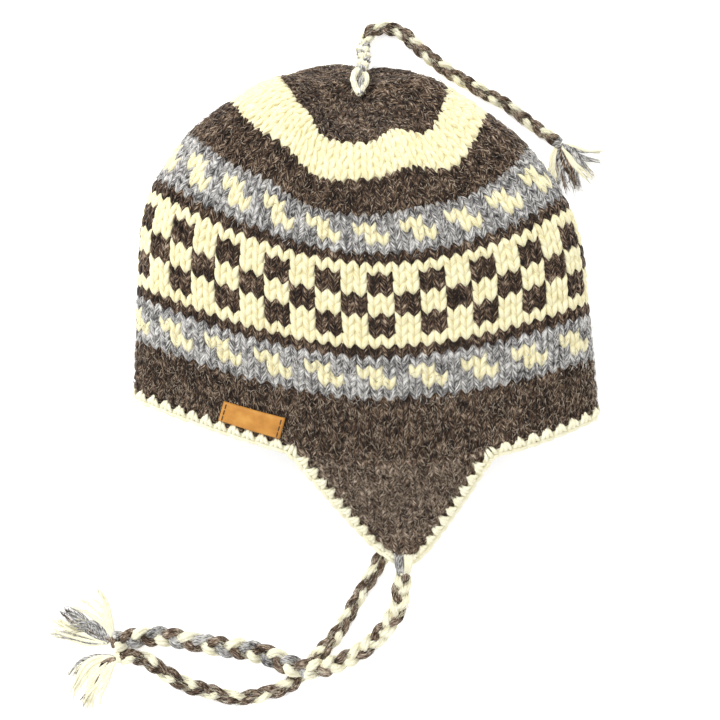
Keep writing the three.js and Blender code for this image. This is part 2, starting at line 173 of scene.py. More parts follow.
def hat_face(turn, course):
    """The outer face at a turn round the section: a fuller ellipse, bowed towards the brim at its middle and
    pressed flat where it lies."""
    turn, course = np.broadcast_arrays(turn, course)
    across = signed_power(np.cos(turn), ROUND)
    up = signed_power(np.sin(turn), ROUND)
    power = np.where(across > 0, section_value(course, "back"), section_value(course, "front"))
    bow = 1 - np.abs(across) ** power
    slip_bow = np.where(up > 0, bow, np.abs(across) ** UNDER_BOW - 1)
    side = section_value(course, "side")
    x = HAT_WIDTH / 2 * section_value(course, "width") * across
    along = side + bow * (section_value(course, "middle") - side)
    y = -HAT_LENGTH * along - slip_bow * LAYER_SLIP * section_value(course, "slip") - HAT_TILT * x
    top = section_value(course, "top")
    bottom = section_value(course, "bottom")
    z = HAT_HEIGHT * ((top + bottom) / 2 + (top - bottom) / 2 * up)
    return np.stack([row_middle_x(course) + x, y, np.maximum(z, 0)], -1)


def turn_over(x, course, side):
    """The turn at which a row passes over x, on the upper side or the lower."""
    share = (x - row_middle_x(course)) / (HAT_WIDTH / 2 * section_value(course, "width"))
    return side * np.arccos(signed_power(np.clip(share, -1, 1), 1 / ROUND))


# The table of turns starts a little below the crown and reaches past half the way round on both sides
TABLE_FROM = 0.25
TABLE_REACH = 0.62


def turn_table():
    """For each course, the turn at evenly spaced shares of the way round, measured along the yarn from the
    upper layer's middle."""
    courses = np.linspace(TABLE_FROM, COURSES, 160)
    shares = np.linspace(-TABLE_REACH, TABLE_REACH, 621)
    turns = np.linspace(1.5 * np.pi, -0.5 * np.pi, 1441)
    table = []
    for course in courses:
        points = hat_face(turns, course)
        length = np.concatenate([[0], np.cumsum(np.linalg.norm(np.diff(points, axis=0), axis=1))])
        length = length / length[-1]
        middle = np.interp(-0.5 * np.pi, -turns, length)
        wrapped = np.concatenate([length[:-1] - 1, length, length[1:] + 1])
        unrolled = np.concatenate([turns[:-1] + 2 * np.pi, turns, turns[1:] - 2 * np.pi])
        table.append(np.interp(shares + middle, wrapped, unrolled))
    return courses, shares, np.array(table)


TABLE_COURSES, TABLE_SHARES, TURN_TABLE = turn_table()


def between_four(table, i, j, a, b):
    """A table's value at shares a and b of the way from row i and column j to the next ones."""
    return ((table[i, j] * (1 - b) + table[i, j + 1] * b) * (1 - a)
            + (table[i + 1, j] * (1 - b) + table[i + 1, j + 1] * b) * a)


def body_face(share, course):
    """The outer face at a share of the way round from the upper middle, its turn read from the table between
    the four nearest entries."""
    share, course = np.broadcast_arrays(share, course)
    row_step = TABLE_COURSES[1] - TABLE_COURSES[0]
    row = np.clip((course - TABLE_COURSES[0]) / row_step, 0, len(TABLE_COURSES) - 1.001)
    column = (share - TABLE_SHARES[0]) / (TABLE_SHARES[1] - TABLE_SHARES[0])
    i = row.astype(int)
    j = column.astype(int)
    turn = between_four(TURN_TABLE, i, j, row - i, column - j)
    return hat_face(turn, np.clip(course, 0.02, COURSES + 1.5))


# Where the sections of the crown were decreased its rows wander: how many courses further from the crown each
# share of the way round lies, at the two edges of the cream ring and halfway to the first pattern
WANDER_SHARES = np.array([-TABLE_REACH, -0.33, -0.25, -0.16, -0.11, -0.05, 0.01, 0.075, 0.135, 0.2, 0.3,
                          TABLE_REACH])
WANDER_COURSES = np.array([2, 9, 13, 17, 21])
WANDER = np.array([
    [0, 0, 0, 0, 0, 0, 0, 0, 0, 0, 0, 0],
    [0, -0.4, -0.9, -1.5, -1.9, -0.2, -0.2, -2.1, 0.55, 0.6, 0.3, 0],
    [0, 0, 0, 0.1, -0.35, 0.9, 0, -1.4, 0.5, 0.1, 0, 0],
    [0, 0, 0, 0, -0.35, 0.3, 0.2, -0.7, -0.2, 0, 0, 0],
    [0, 0, 0, 0, 0, 0, 0, 0, 0, 0, 0, 0],
])

# Soft folds where the crown's top lies: each one's place across the hat, how far it stands out, its width
CROWN_FOLDS = [(1.5, -2.5, 6.5), (30.0, 3.6, 12.0)]
FOLDS_FROM_Y = -14.0
FOLDS_FULL_Y = 6.0


def folded(points):
    """The face moved out of the crown's outline, or into it, where it lies in folds: each is a bell curve
    across the hat, and takes hold on an easing curve along it."""
    grip = eased(np.clip((points[..., 1] - FOLDS_FROM_Y) / (FOLDS_FULL_Y - FOLDS_FROM_Y), 0, 1))
    moved = points.copy()
    for x, out, width in CROWN_FOLDS:
        moved[..., 1] += out * grip * np.exp(-((points[..., 0] - x) / width) ** 2)
    return moved


def knit_face(share, course):
    """The body's face as the rows really run on it, which is what the stitches follow: the course is moved by
    WANDER, eased between its shares and straight between its courses."""
    share, course = np.broadcast_arrays(share, course)
    i = np.clip(np.searchsorted(WANDER_SHARES, share, side="right") - 1, 0, len(WANDER_SHARES) - 2)
    j = np.clip(np.searchsorted(WANDER_COURSES, course, side="right") - 1, 0, len(WANDER_COURSES) - 2)
    a = np.clip((share - WANDER_SHARES[i]) / (WANDER_SHARES[i + 1] - WANDER_SHARES[i]), 0, 1)
    b = np.clip((course - WANDER_COURSES[j]) / (WANDER_COURSES[j + 1] - WANDER_COURSES[j]), 0, 1)
    return folded(body_face(share, course + between_four(WANDER, j, i, b, eased(a))))


def flap_half(down):
    """Half a flap's width at a share of the way down it, on a straight line from its base to its tip."""
    return (FLAP_BASE + (FLAP_TIP - FLAP_BASE) * down) / 2


def flap_face(side, lateral, down):
    """A flap's outer face: the brim moved down along the flap and rounded off near the tip, sinking to the
    tip's height on an easing curve."""
    lateral, down = np.broadcast_arrays(lateral, down)
    x = FLAP_X + lateral
    brim = hat_face(turn_over(x, COURSES, side), float(COURSES))
    drop = hat_face(np.pi / 2, float(COURSES))[2] - UPPER_TIP_Z if side > 0 else 0.0
    reach = math.sqrt(FLAP_LENGTH**2 - drop**2)
    round_tip = TIP_ROUNDING * FLAP_TIP * np.minimum(1, (lateral / flap_half(down)) ** 2) * down**4
    sink = FLAP_EASE * eased(down) + (1 - FLAP_EASE) * down
    z = brim[..., 2] + (UPPER_TIP_Z - brim[..., 2]) * sink if side > 0 else brim[..., 2]
    return np.stack([x + FLAP_DRIFT * down, brim[..., 1] - FLAP_GAP - reach * down + round_tip, z], -1)


def flap_rows(side):
    """A flap's face by the place across it and the course down it, as its stitches are counted."""
    return lambda lateral, row: flap_face(side, lateral, row / FLAP_COURSES)


def unit(vectors):
    """Vectors of length one in the same directions."""
    return vectors / np.maximum(np.linalg.norm(vectors, axis=-1, keepdims=True), 1e-9)


def surface_frame(face, a, b, step_a, step_b, flip=1):
    """A point of a face with its unit directions across and outwards, from small steps both ways."""
    across = unit(face(a + step_a, b) - face(a - step_a, b))
    along = unit(face(a, b + step_b) - face(a, b - step_b))
    out = unit(np.cross(across, along)) * -flip
    return face(a, b), across, out


def settle(points, lowest):
    """Raises what lies below a height to that height, so that nothing sinks through the surface."""
    points[..., 2] = np.maximum(points[..., 2], lowest)


def place_in_frame():
    """How far the solid's front and lower corner lies from the formula's, both on the solid's own grid."""
    solid_low = np.array(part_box("knit_body")[0]) / MM
    turn, course = np.meshgrid(np.linspace(0, 2 * np.pi, 57)[:-1], np.linspace(1, COURSES, 79))
    formula_low = hat_face(turn, course).reshape(-1, 3).min(0)
    return np.array([solid_low[0] - formula_low[0], solid_low[1] - formula_low[1], 0.0])


PLACE = place_in_frame()


# Colours and materials

def linear(hex_colour):
    """An sRGB hex value as linear red, green, blue and full alpha."""
    values = [int(hex_colour[i:i + 2], 16) / 255 for i in (1, 3, 5)]
    return [v / 12.92 if v <= 0.04045 else ((v + 0.055) / 1.055) ** 2.4 for v in values] + [1.0]


def add(tree, kind, settings=None, links=None):
    """A node of one kind, with its settings, its input values by name or number, and the sockets that feed
    it. Settings have small letters and inputs a capital."""
    node = tree.nodes.new(kind)
    for name, value in (settings or {}).items():
        if isinstance(name, str) and name[0].islower():
            setattr(node, name, value)
        else:
            node.inputs[name].default_value = value
    for name, socket in (links or {}).items():
        tree.links.new(socket, node.inputs[name])
    return node


def new_material(name, finish):
    """A material of one shader, with its finish as input values, and the tree that its nodes go in."""
    material = bpy.data.materials.new(name)
    material.use_nodes = True
    tree = material.node_tree
    tree.nodes.clear()
    shader = add(tree, "ShaderNodeBsdfPrincipled", finish)
    add(tree, "ShaderNodeOutputMaterial", links={"Surface": shader.outputs["BSDF"]})
    return material, tree, shader


def ramp(tree, factor, stops):
    """Colours that follow a factor from stop to stop."""
    node = add(tree, "ShaderNodeValToRGB", links={"Fac": factor})
    while len(node.color_ramp.elements) < len(stops):
        node.color_ramp.elements.new(0.5)
    for element, (place, colour) in zip(node.color_ramp.elements, stops):
        element.position = place
        element.color = linear(colour)
    return node.outputs["Color"]


# Real fibres are too fine to show, so they are drawn as streaks about 0.6 mm wide and 3 mm long. The mix of
# light and dark fibres changes over about 6 mm, by MIX_SHARE.
STREAKS = (1.75, 0.3, 1.0)
MIX_PER_METRE = 160.0
MIX_SHARE = 0.34
YARN_RELIEF = 0.0006


def yarn_material(name, stops, bump, sheen):
    """Hand-spun wool: long fibres run along the yarn with its twist, in the stops' colours, and a slower
    variation changes the mix from one stretch of yarn to the next."""
    material, tree, shader = new_material(name, {
        "Roughness": 0.92, "Specular IOR Level": 0.18, "Sheen Weight": sheen, "Sheen Roughness": 0.55})
    uv = add(tree, "ShaderNodeUVMap", {"uv_map": "yarn"}).outputs["UV"]
    fibres = add(tree, "ShaderNodeMapping", {"Scale": STREAKS}, {"Vector": uv}).outputs["Vector"]
    streak = add(tree, "ShaderNodeTexNoise", {"Scale": 1.0, "Detail": 3.0, "Roughness": 0.68},
                 {"Vector": fibres}).outputs["Fac"]
    place = add(tree, "ShaderNodeTexCoord").outputs["Object"]
    mix = add(tree, "ShaderNodeTexNoise", {"Scale": MIX_PER_METRE, "Detail": 2.0},
              {"Vector": place}).outputs["Fac"]
    mixed = add(tree, "ShaderNodeMath", {"operation": "MULTIPLY_ADD", 1: MIX_SHARE}, {0: mix, 2: streak})
    centred = add(tree, "ShaderNodeMath", {"operation": "SUBTRACT", 1: MIX_SHARE / 2},
                  {0: mixed.outputs["Value"]})
    tree.links.new(ramp(tree, centred.outputs["Value"], stops), shader.inputs["Base Color"])
    relief = add(tree, "ShaderNodeBump", {"Strength": bump, "Distance": YARN_RELIEF}, {"Height": streak})
    tree.links.new(relief.outputs["Normal"], shader.inputs["Normal"])
    return material


BROWN_STOPS = [(0.38, "#120a05"), (0.47, "#2a1b11"), (0.53, "#4d3a2b"), (0.6, "#85705c"), (0.69, "#c4b19b")]
GREY_STOPS = [(0.37, "#3c3a39"), (0.45, "#6f6d6c"), (0.5, "#a2a09e"), (0.56, "#cccac6"), (0.66, "#ebe9e3")]
CREAM_STOPS = [(0.3, "#dcd09f"), (0.42, "#f0e6b8"), (0.53, "#faf3cc"), (0.66, "#fff9da")]
# A paler copy of the cream: the cords' own whiter cream, and painted light on the crocheted edge
PALE_CREAM_STOPS = [(0.3, "#e9e1bf"), (0.42, "#f9f3d3"), (0.53, "#fffbdf"), (0.66, "#fffdf0")]
PALE_BROWN_STOPS = [
    (0.38, "#20150d"), (0.46, "#433225"), (0.52, "#6d5a4a"), (0.59, "#a99580"), (0.68, "#ddcfbd")]

# Natural brown alpaca and sheep's wool spun together: dark fibres with pale ones among them
brown_wool = yarn_material("heathered_brown_wool", BROWN_STOPS, 0.55, 0.12)
# Black and white fleece carded together, which the eye takes for grey
grey_wool = yarn_material("heathered_grey_wool", GREY_STOPS, 0.5, 0.1)
# Undyed sheep's wool, smooth and bright
cream_wool = yarn_material("undyed_cream_wool", CREAM_STOPS, 0.35, 0.08)
WOOLS = [brown_wool, grey_wool, cream_wool]
# The flaps are knitted from a paler part of the brown fleece
pale_brown_wool = yarn_material("paler_brown_wool", PALE_BROWN_STOPS, 0.55, 0.12)
FLAP_WOOLS = [pale_brown_wool, grey_wool, cream_wool]
# The cords and the crocheted edge take the paler brown and a paler, whiter copy of the cream
# On the cords it is their own whiter cream; on the crocheted edge it is painted light, brightening chains and
# tufts that face away from the lamp
whiter_cream_painted_light_wool = yarn_material("whiter_cream_wool_with_painted_light", PALE_CREAM_STOPS, 0.35, 0.08)
CORD_WOOLS = [pale_brown_wool, grey_wool, whiter_cream_painted_light_wool]


def hair_material(name, stops):
    """Loose fibres that stand off the yarn. Each starts at its own place in a slow noise, and takes one of
    the stops' colours from there."""
    material, tree, shader = new_material(name, {"Roughness": 0.7})
    uv = add(tree, "ShaderNodeUVMap", {"uv_map": "yarn"}).outputs["UV"]
    each = add(tree, "ShaderNodeMapping", {"Scale": (0.05, 0.03, 1.0)}, {"Vector": uv}).outputs["Vector"]
    tone = add(tree, "ShaderNodeTexNoise", {"Scale": 3.0, "Detail": 0.0}, {"Vector": each}).outputs["Fac"]
    tree.links.new(ramp(tree, tone, stops), shader.inputs["Base Color"])
    return material


# Single fibres of the brown yarn, from nearly black to straw, which blur its surface
brown_hair = hair_material("loose_brown_fibres", [
    (0.36, "#150d07"), (0.45, "#4d3b2c"), (0.53, "#93806b"), (0.64, "#d4c4af")])
# Single fibres of the grey yarn, most of them pale
grey_hair = hair_material("loose_grey_fibres", [(0.36, "#6b6764"), (0.48, "#aaa7a2"), (0.6, "#f2efe8")])

# Leather's cloudy tone changes over about 9 mm. Its pores are too fine to show, and they are drawn coarser,
# about half a millimetre apart.
CLOUDS_PER_METRE = 110.0
PORES_PER_METRE = 1800.0


def leather_material():
    """Calfskin with a cloud of three tans and a shallow dent at each pore."""
    material, tree, shader = new_material("vegetable_tanned_leather", {"Roughness": 0.55})
    place = add(tree, "ShaderNodeTexCoord").outputs["Object"]
    cloud = add(tree, "ShaderNodeTexNoise", {"Scale": CLOUDS_PER_METRE, "Detail": 5.0, "Roughness": 0.6},
                {"Vector": place}).outputs["Fac"]
    colour = ramp(tree, cloud, [(0.3, "#b1782c"), (0.5, "#cb8b38"), (0.7, "#dba04a")])
    tree.links.new(colour, shader.inputs["Base Color"])
    pores = add(tree, "ShaderNodeTexVoronoi", {"Scale": PORES_PER_METRE}, {"Vector": place})
    relief = add(tree, "ShaderNodeBump", {"Strength": 0.35, "Distance": 0.0002},
                 {"Height": pores.outputs["Distance"]})
    tree.links.new(relief.outputs["Normal"], shader.inputs["Normal"])
    return material


def thread_material():
    """Sewing thread in two browns, whose plies lie about 0.3 mm apart on the slant of its twist."""
    material, tree, shader = new_material("waxed_thread", {"Roughness": 0.6})
    uv = add(tree, "ShaderNodeUVMap", {"uv_map": "yarn"}).outputs["UV"]
    ply = add(tree, "ShaderNodeTexWave", {"Scale": 0.6, "Distortion": 0.4}, {"Vector": uv}).outputs["Fac"]
    tree.links.new(ramp(tree, ply, [(0.2, "#3c2512"), (0.8, "#5e3d20")]), shader.inputs["Base Color"])
    return material


# Vegetable-tanned calfskin, left undyed, whose warm tan looks a little uneven
tan_leather = leather_material()
# Waxed brown linen thread, with a dull gleam
brown_thread = thread_material()
LEATHER, THREAD = 0, 1


# Making meshes from arrays

# How far past its last ring a tube's tip lies, as a share of its last step, and how many millimetres of the
# yarn's map a step across and along the backing takes
TIP_SHARE = 0.6
MAP_ACROSS = 3.4
MAP_ALONG = 2.7


def grid_faces(steps, sides):
    """The faces of a closed row of rings, pointing outwards: quads between the rings, fans round the two tips
    that follow them, and each quad corner's place round and along in steps."""
    i, j = np.meshgrid(np.arange(steps - 1), np.arange(sides), indexing="ij")
    k = (j + 1) % sides
    corners = [i * sides + j, i * sides + k, (i + 1) * sides + k, (i + 1) * sides + j]
    quads = np.stack(corners, -1).reshape(-1, 4)
    round_steps = np.stack([j, j + 1, j + 1, j], -1).reshape(-1, 4)
    along_steps = np.stack([i, i, i + 1, i + 1], -1).reshape(-1, 4)
    edge = np.arange(sides)
    after = (edge + 1) % sides
    last = (steps - 1) * sides
    tip = np.full(sides, steps * sides)
    fans = np.concatenate([
        np.stack([tip, after, edge], -1), np.stack([tip + 1, last + edge, last + after], -1)])
    return quads, fans, round_steps, along_steps


def tubes(path, across, out, width, height, sides, wool, twist=0.0):
    """Many closed tubes at once, one for each first index of path: an ellipse of width along across and
    height along out is carried along each path, and a point closes each end. The map runs round the yarn
    and along it in millimetres, turned by the twist, and starts at a random place."""
    count, steps = path.shape[:2]
    angle = np.arange(sides) * 2 * np.pi / sides
    rings = (path[:, :, None] + across[:, :, None] * (width[:, :, None] * np.cos(angle))[..., None]
             + out[:, :, None] * (height[:, :, None] * np.sin(angle))[..., None])
    ends = path[:, [0, -1]]
    beyond = TIP_SHARE * (ends - path[:, [1, -2]])
    held = np.minimum(1, width[:, [0, -1]] / np.maximum(np.linalg.norm(beyond, axis=-1), 1e-6))
    tips = ends + beyond * held[..., None]
    verts = np.concatenate([rings.reshape(count, -1, 3), tips], 1)
    quads, fans, round_steps, along_steps = grid_faces(steps, sides)
    pace = np.linalg.norm(np.diff(path, axis=1), axis=-1)
    length = np.concatenate([np.zeros((count, 1)), np.cumsum(pace, 1)], 1)
    girth = 2 * np.pi * width.mean(1)
    start = chance.uniform(0, 400, (count, 2))[:, None, None]
    v = length[:, along_steps]
    u = round_steps / sides * girth[:, None, None] + v * twist
    quad_uv = np.stack([u, v], -1) + start
    tri_uv = np.broadcast_to(start, (count, len(fans), 3, 2)).copy()
    tri_uv[:, sides:, :, 1] += length[:, -1][:, None, None]
    base = (np.arange(count) * verts.shape[1])[:, None, None]
    wool = np.broadcast_to(wool, count)
    return {
        "verts": verts.reshape(-1, 3),
        "quads": (quads + base).reshape(-1, 4),
        "quad_uv": quad_uv.reshape(-1, 4, 2),
        "quad_wool": np.repeat(wool, len(quads)),
        "tris": (fans + base).reshape(-1, 3),
        "tri_uv": tri_uv.reshape(-1, 3, 2),
        "tri_wool": np.repeat(wool, len(fans)),
    }


def shell(rings, wool):
    """A closed skin over a grid of rings, with its end rings drawn to their middles. The rings run round it
    the other way from a tube's, so each face is turned over."""
    steps, sides = rings.shape[:2]
    quads, fans, round_steps, along_steps = grid_faces(steps, sides)
    over = [0, 3, 2, 1]
    quad_uv = np.stack([round_steps[:, over] * MAP_ACROSS, along_steps[:, over] * MAP_ALONG], -1)
    return {
        "verts": np.concatenate([rings.reshape(-1, 3), rings[[0, -1]].mean(1)]),
        "quads": quads[:, over],
        "quad_uv": quad_uv,
        "quad_wool": np.broadcast_to(wool, (steps - 1, sides)).reshape(-1),
        "tris": fans[:, [0, 2, 1]],
        "tri_uv": np.zeros((len(fans), 3, 2)),
        "tri_wool": np.zeros(len(fans), int),
    }


def put_mesh(name, parts, materials, replaces=()):
    """Joins arrays from tubes and shell into one object that rides on the hat."""
    offset = 0
    verts, loops, sizes, uvs, slots = [], [], [], [], []
    for part in parts:
        verts.append((part["verts"] + PLACE) * MM)
        for faces, uv, wool in (("quads", "quad_uv", "quad_wool"), ("tris", "tri_uv", "tri_wool")):
            loops.append((part[faces] + offset).reshape(-1))
            sizes.append(np.full(len(part[faces]), part[faces].shape[1]))
            uvs.append(part[uv].reshape(-1, 2))
            slots.append(part[wool])
        offset += len(part["verts"])
    verts, loops, sizes, uvs, slots = (np.concatenate(kind) for kind in (verts, loops, sizes, uvs, slots))
    mesh = bpy.data.meshes.new(name)
    mesh.vertices.add(len(verts))
    mesh.vertices.foreach_set("co", verts.astype(np.float32).reshape(-1))
    mesh.loops.add(len(loops))
    mesh.loops.foreach_set("vertex_index", loops.astype(np.int32))
    mesh.polygons.add(len(sizes))
    first_loops = np.concatenate([[0], np.cumsum(sizes)[:-1]])
    mesh.polygons.foreach_set("loop_start", first_loops.astype(np.int32))
    mesh.polygons.foreach_set("material_index", slots.astype(np.int32))
    mesh.polygons.foreach_set("use_smooth", np.ones(len(sizes), bool))
    mesh.update(calc_edges=True)
    layer = mesh.uv_layers.new(name="yarn")
    layer.data.foreach_set("uv", uvs.astype(np.float32).reshape(-1))
    for material in materials:
        mesh.materials.append(material)
    piece = bpy.data.objects.new(name, mesh)
    bpy.context.scene.collection.objects.link(piece)
    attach(piece, "root")
    if replaces:
        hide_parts(*replaces)
    return piece


# The camera looks straight down, as the photograph does. Its place is in millimetres from the crown's centre.
CAMERA_PLACE = np.array([-1.1, -146.9, 1336.0])
CAMERA_LENS = 120

# A white room, and one soft window above the hat's front: metres, degrees and watts
ROOM_BRIGHTNESS = 0.86
WINDOW_PLACE = (-1.0, 1.1, 1.7)
WINDOW_TURN = (-33, -28, 0)
WINDOW_WIDTH = 1.1
WINDOW_POWER = 26

# The light table's half width and how far it lies below the hat, in metres
TABLE_HALF = 3.0
TABLE_BELOW = 0.0002


def make_camera():
    data = bpy.data.cameras.new("camera")
    data.sensor_width = 36
    data.lens = CAMERA_LENS
    data.clip_end = 20
    camera = bpy.data.objects.new("camera", data)
    camera.location = (CAMERA_PLACE + PLACE) * MM
    bpy.context.scene.collection.objects.link(camera)
    bpy.context.scene.camera = camera


def make_light():
    scene = bpy.context.scene
    world = bpy.data.worlds.new("white_room")
    world.use_nodes = True
    background = world.node_tree.nodes["Background"]
    background.inputs["Color"].default_value = (1, 1, 1, 1)
    background.inputs["Strength"].default_value = ROOM_BRIGHTNESS
    scene.world = world
    data = bpy.data.lights.new("soft_window", "AREA")
    data.shape = "DISK"
    data.size = WINDOW_WIDTH
    data.energy = WINDOW_POWER
    lamp = bpy.data.objects.new("soft_window", data)
    lamp.location = WINDOW_PLACE
    lamp.rotation_euler = [math.radians(angle) for angle in WINDOW_TURN]
    scene.collection.objects.link(lamp)
    scene.view_settings.view_transform = "Standard"
    scene.view_settings.look = "None"


def make_floor():
    """A light table: white acrylic lit a little from below, flat and very large, just below the hat. Its fine
    matt grain is about a millimetre wide and hardly shows."""
    material, tree, shader = new_material("lit_white_acrylic", {
        "Roughness": 0.9, "Emission Color": linear("#ffffff"), "Emission Strength": 0.5})
    place = add(tree, "ShaderNodeTexCoord").outputs["Object"]
    grain = add(tree, "ShaderNodeTexNoise", {"Scale": 900.0, "Detail": 3.0}, {"Vector": place}).outputs["Fac"]
    tree.links.new(ramp(tree, grain, [(0.3, "#fbfbfb"), (0.7, "#ffffff")]), shader.inputs["Base Color"])
    mesh = bpy.data.meshes.new("floor")
    corners = [(x * TABLE_HALF, y * TABLE_HALF, 0) for x, y in ((-1, -1), (1, -1), (1, 1), (-1, 1))]
    mesh.from_pydata(corners, [], [(0, 1, 2, 3)])
    mesh.materials.append(material)
    floor = bpy.data.objects.new("floor", mesh)
    floor.location = (0, 0, -TABLE_BELOW)
    bpy.context.scene.collection.objects.link(floor)


# Braids

# The spacing of a braid's points, a strand's half width as a share of the braid's, a yarn's radius as a share
# of the strand's, how far out the yarns lie as a share of their radius, how many there are, and their turns
# to a millimetre
ROUTE_STEP = 1.45
STRAND_SHARE = 0.245
YARN_SHARE = 0.46
YARN_SPREAD = 1.22
YARNS_IN_STRAND = 5
STRAND_TWIST = 0.028

# The braiding takes hold over this length from the start, or over the longer one where it starts in a loop
START_LENGTH = 7.0
LOOP_LENGTH = 25.0

# A loose fibre is a run of three points
FIBRE_WAY = np.linspace(0, 1, 3)
BRAID_FIBRES_PER_MM = 4.5


def smooth_route(points, spacing):
    """An even run of points on the centripetal Catmull-Rom curve through the route."""
    p = np.array(points, float)
    p = np.concatenate([[2 * p[0] - p[1]], p, [2 * p[-1] - p[-2]]])
    knots = np.concatenate([[0], np.cumsum(np.sqrt(np.linalg.norm(np.diff(p, axis=0), axis=1)))])
    spans = [np.linspace(knots[i], knots[i + 1], 24, endpoint=False) for i in range(1, len(p) - 2)]
    t = np.concatenate(spans + [[knots[-2]]])
    i = np.clip(np.searchsorted(knots, t, side="right") - 1, 1, len(p) - 3)

    def blend(a, b, low, high):
        w = ((t - low) / (high - low))[:, None]
        return a * (1 - w) + b * w

    k = [knots[i - 1], knots[i], knots[i + 1], knots[i + 2]]
    a1 = blend(p[i - 1], p[i], k[0], k[1])
    a2 = blend(p[i], p[i + 1], k[1], k[2])
    a3 = blend(p[i + 1], p[i + 2], k[2], k[3])
    b1 = blend(a1, a2, k[0], k[2])
    b2 = blend(a2, a3, k[1], k[3])
    curve = blend(b1, b2, k[1], k[2])
    length = np.concatenate([[0], np.cumsum(np.linalg.norm(np.diff(curve, axis=0), axis=1))])
    even = np.linspace(0, length[-1], int(length[-1] / spacing) + 1)
    return np.stack([np.interp(even, length, curve[:, axis]) for axis in range(3)], -1), even


def route_frame(route):
    """Unit directions along a route, sideways over the surface and up from it."""
    along = unit(np.gradient(route, axis=0))
    side = unit(np.cross(along, UP))
    return along, side, np.cross(side, along)


def plied(centre, side, up, offsets, distance, radius, wool):
    """Yarns that twist together round one centre line, each at its own angle in the bundle."""
    angle = offsets[:, None] + 2 * np.pi * STRAND_TWIST * distance[None]
    ring = np.cos(angle)[..., None] * side[None] + np.sin(angle)[..., None] * up[None]
    path = centre[None] + YARN_SPREAD * radius[None, :, None] * ring
    wide = np.broadcast_to(radius, path.shape[:2])
    along = unit(np.gradient(path, axis=1))
    across = unit(np.cross(along, up[None]))
    return tubes(path, across, np.cross(across, along), wide, wide, 6, wool, twist=0.4)


def braid(route_points, width, wools, phase, pitch, lean, fuller, change_at, bows=None):
    """Three strands of five yarns: each strand's middle swings from side to side as a sine of the way along,
    and rises and falls at twice that rate, a third of a turn after the one before. Bows are given where the
    strands come out of one stitch, and say how far each bends aside before the braiding takes hold. Lean is
    1 or -1 for which way the lobes point, fuller how much thicker the braid grows by its middle, and
    change_at the share of its length at which each strand goes on in its second wool."""
    route, distance = smooth_route(route_points, ROUTE_STEP)
    _, side, up = route_frame(route)
    growth = np.interp(distance, [0, distance[-1] / 2, distance[-1]], [1, fuller, fuller])
    strand_half = width * STRAND_SHARE * growth
    hold = np.clip(distance / (LOOP_LENGTH if bows else START_LENGTH), 0, 1)
    swing = 1.04 * strand_half * (hold**3 if bows else 0.3 + 0.7 * hold)
    heave = lean * 0.92 * strand_half * (hold if bows else 1)
    parts = []
    for strand, (first_wool, second_wool) in enumerate(wools):
        turn = phase + 2 * np.pi * (distance / pitch + strand / 3)
        turn = turn + 0.35 * np.sin(distance * 0.06 + strand)
        sway = swing * np.sin(turn) + 0.25 * np.sin(distance * 0.31 + 2.1 * strand)
        if bows:
            sway = sway + bows[strand] * np.sin(np.pi * hold) ** 0.8
        lift = heave * np.sin(2 * turn)
        middle = route + side * sway[:, None] + up * lift[:, None]
        change = int(len(distance) * change_at) + 3 * strand
        offsets = np.arange(YARNS_IN_STRAND) * 2 * np.pi / YARNS_IN_STRAND + strand
        for span, wool in ((slice(0, change + 1), first_wool), (slice(change, None), second_wool)):
            parts.append(plied(middle[span], side[span], up[span], offsets, distance[span],
                               YARN_SHARE * strand_half[span], wool))
    return parts, route, distance[-1]


def braid_fibres(route, width, length):
    """Single fibres that leave a braid's sides and top, run along it and curve away from it."""
    along, side, up = route_frame(route)
    count = int(length * BRAID_FIBRES_PER_MM)
    where = chance.integers(2, len(route) - 3, count)
    angle = chance.uniform(-0.3, np.pi + 0.3, count)
    away = (np.cos(angle)[:, None] * side[where] + np.sin(angle)[:, None] * up[where])[:, None]
    heading = (along[where] * chance.choice([-1, 1], count)[:, None])[:, None]
    way = FIBRE_WAY[None, :, None]
    run = chance.uniform(2.0, 5.5, count)[:, None, None]
    curl = chance.uniform(0.1, 0.45, count)[:, None, None]
    path = route[where][:, None] + away * width * 0.36 + heading * run * way + away * (curl * run * way**1.5)
    settle(path, 0.15)
    thin = np.full(path.shape[:2], 0.08)
    fibre_side = np.broadcast_to(side[where][:, None], path.shape)
    fibre_up = np.broadcast_to(up[where][:, None], path.shape)
    wools = chance.choice([CREAM, GREY, BROWN, CREAM], count)
    return tubes(path, fibre_side, fibre_up, thin, thin, 3, wools)


def make_braid(name, route_points, width, tassel, **strands):
    """A braid and its fibres as one piece, in place of the cord's solid."""
    parts, route, length = braid(route_points, width, **strands)
    for part in parts:
        settle(part["verts"], 0.05)
    parts.append(braid_fibres(route, width, length))
    piece = put_mesh(name + "_strands", parts, CORD_WOOLS, [name])


# Tassels

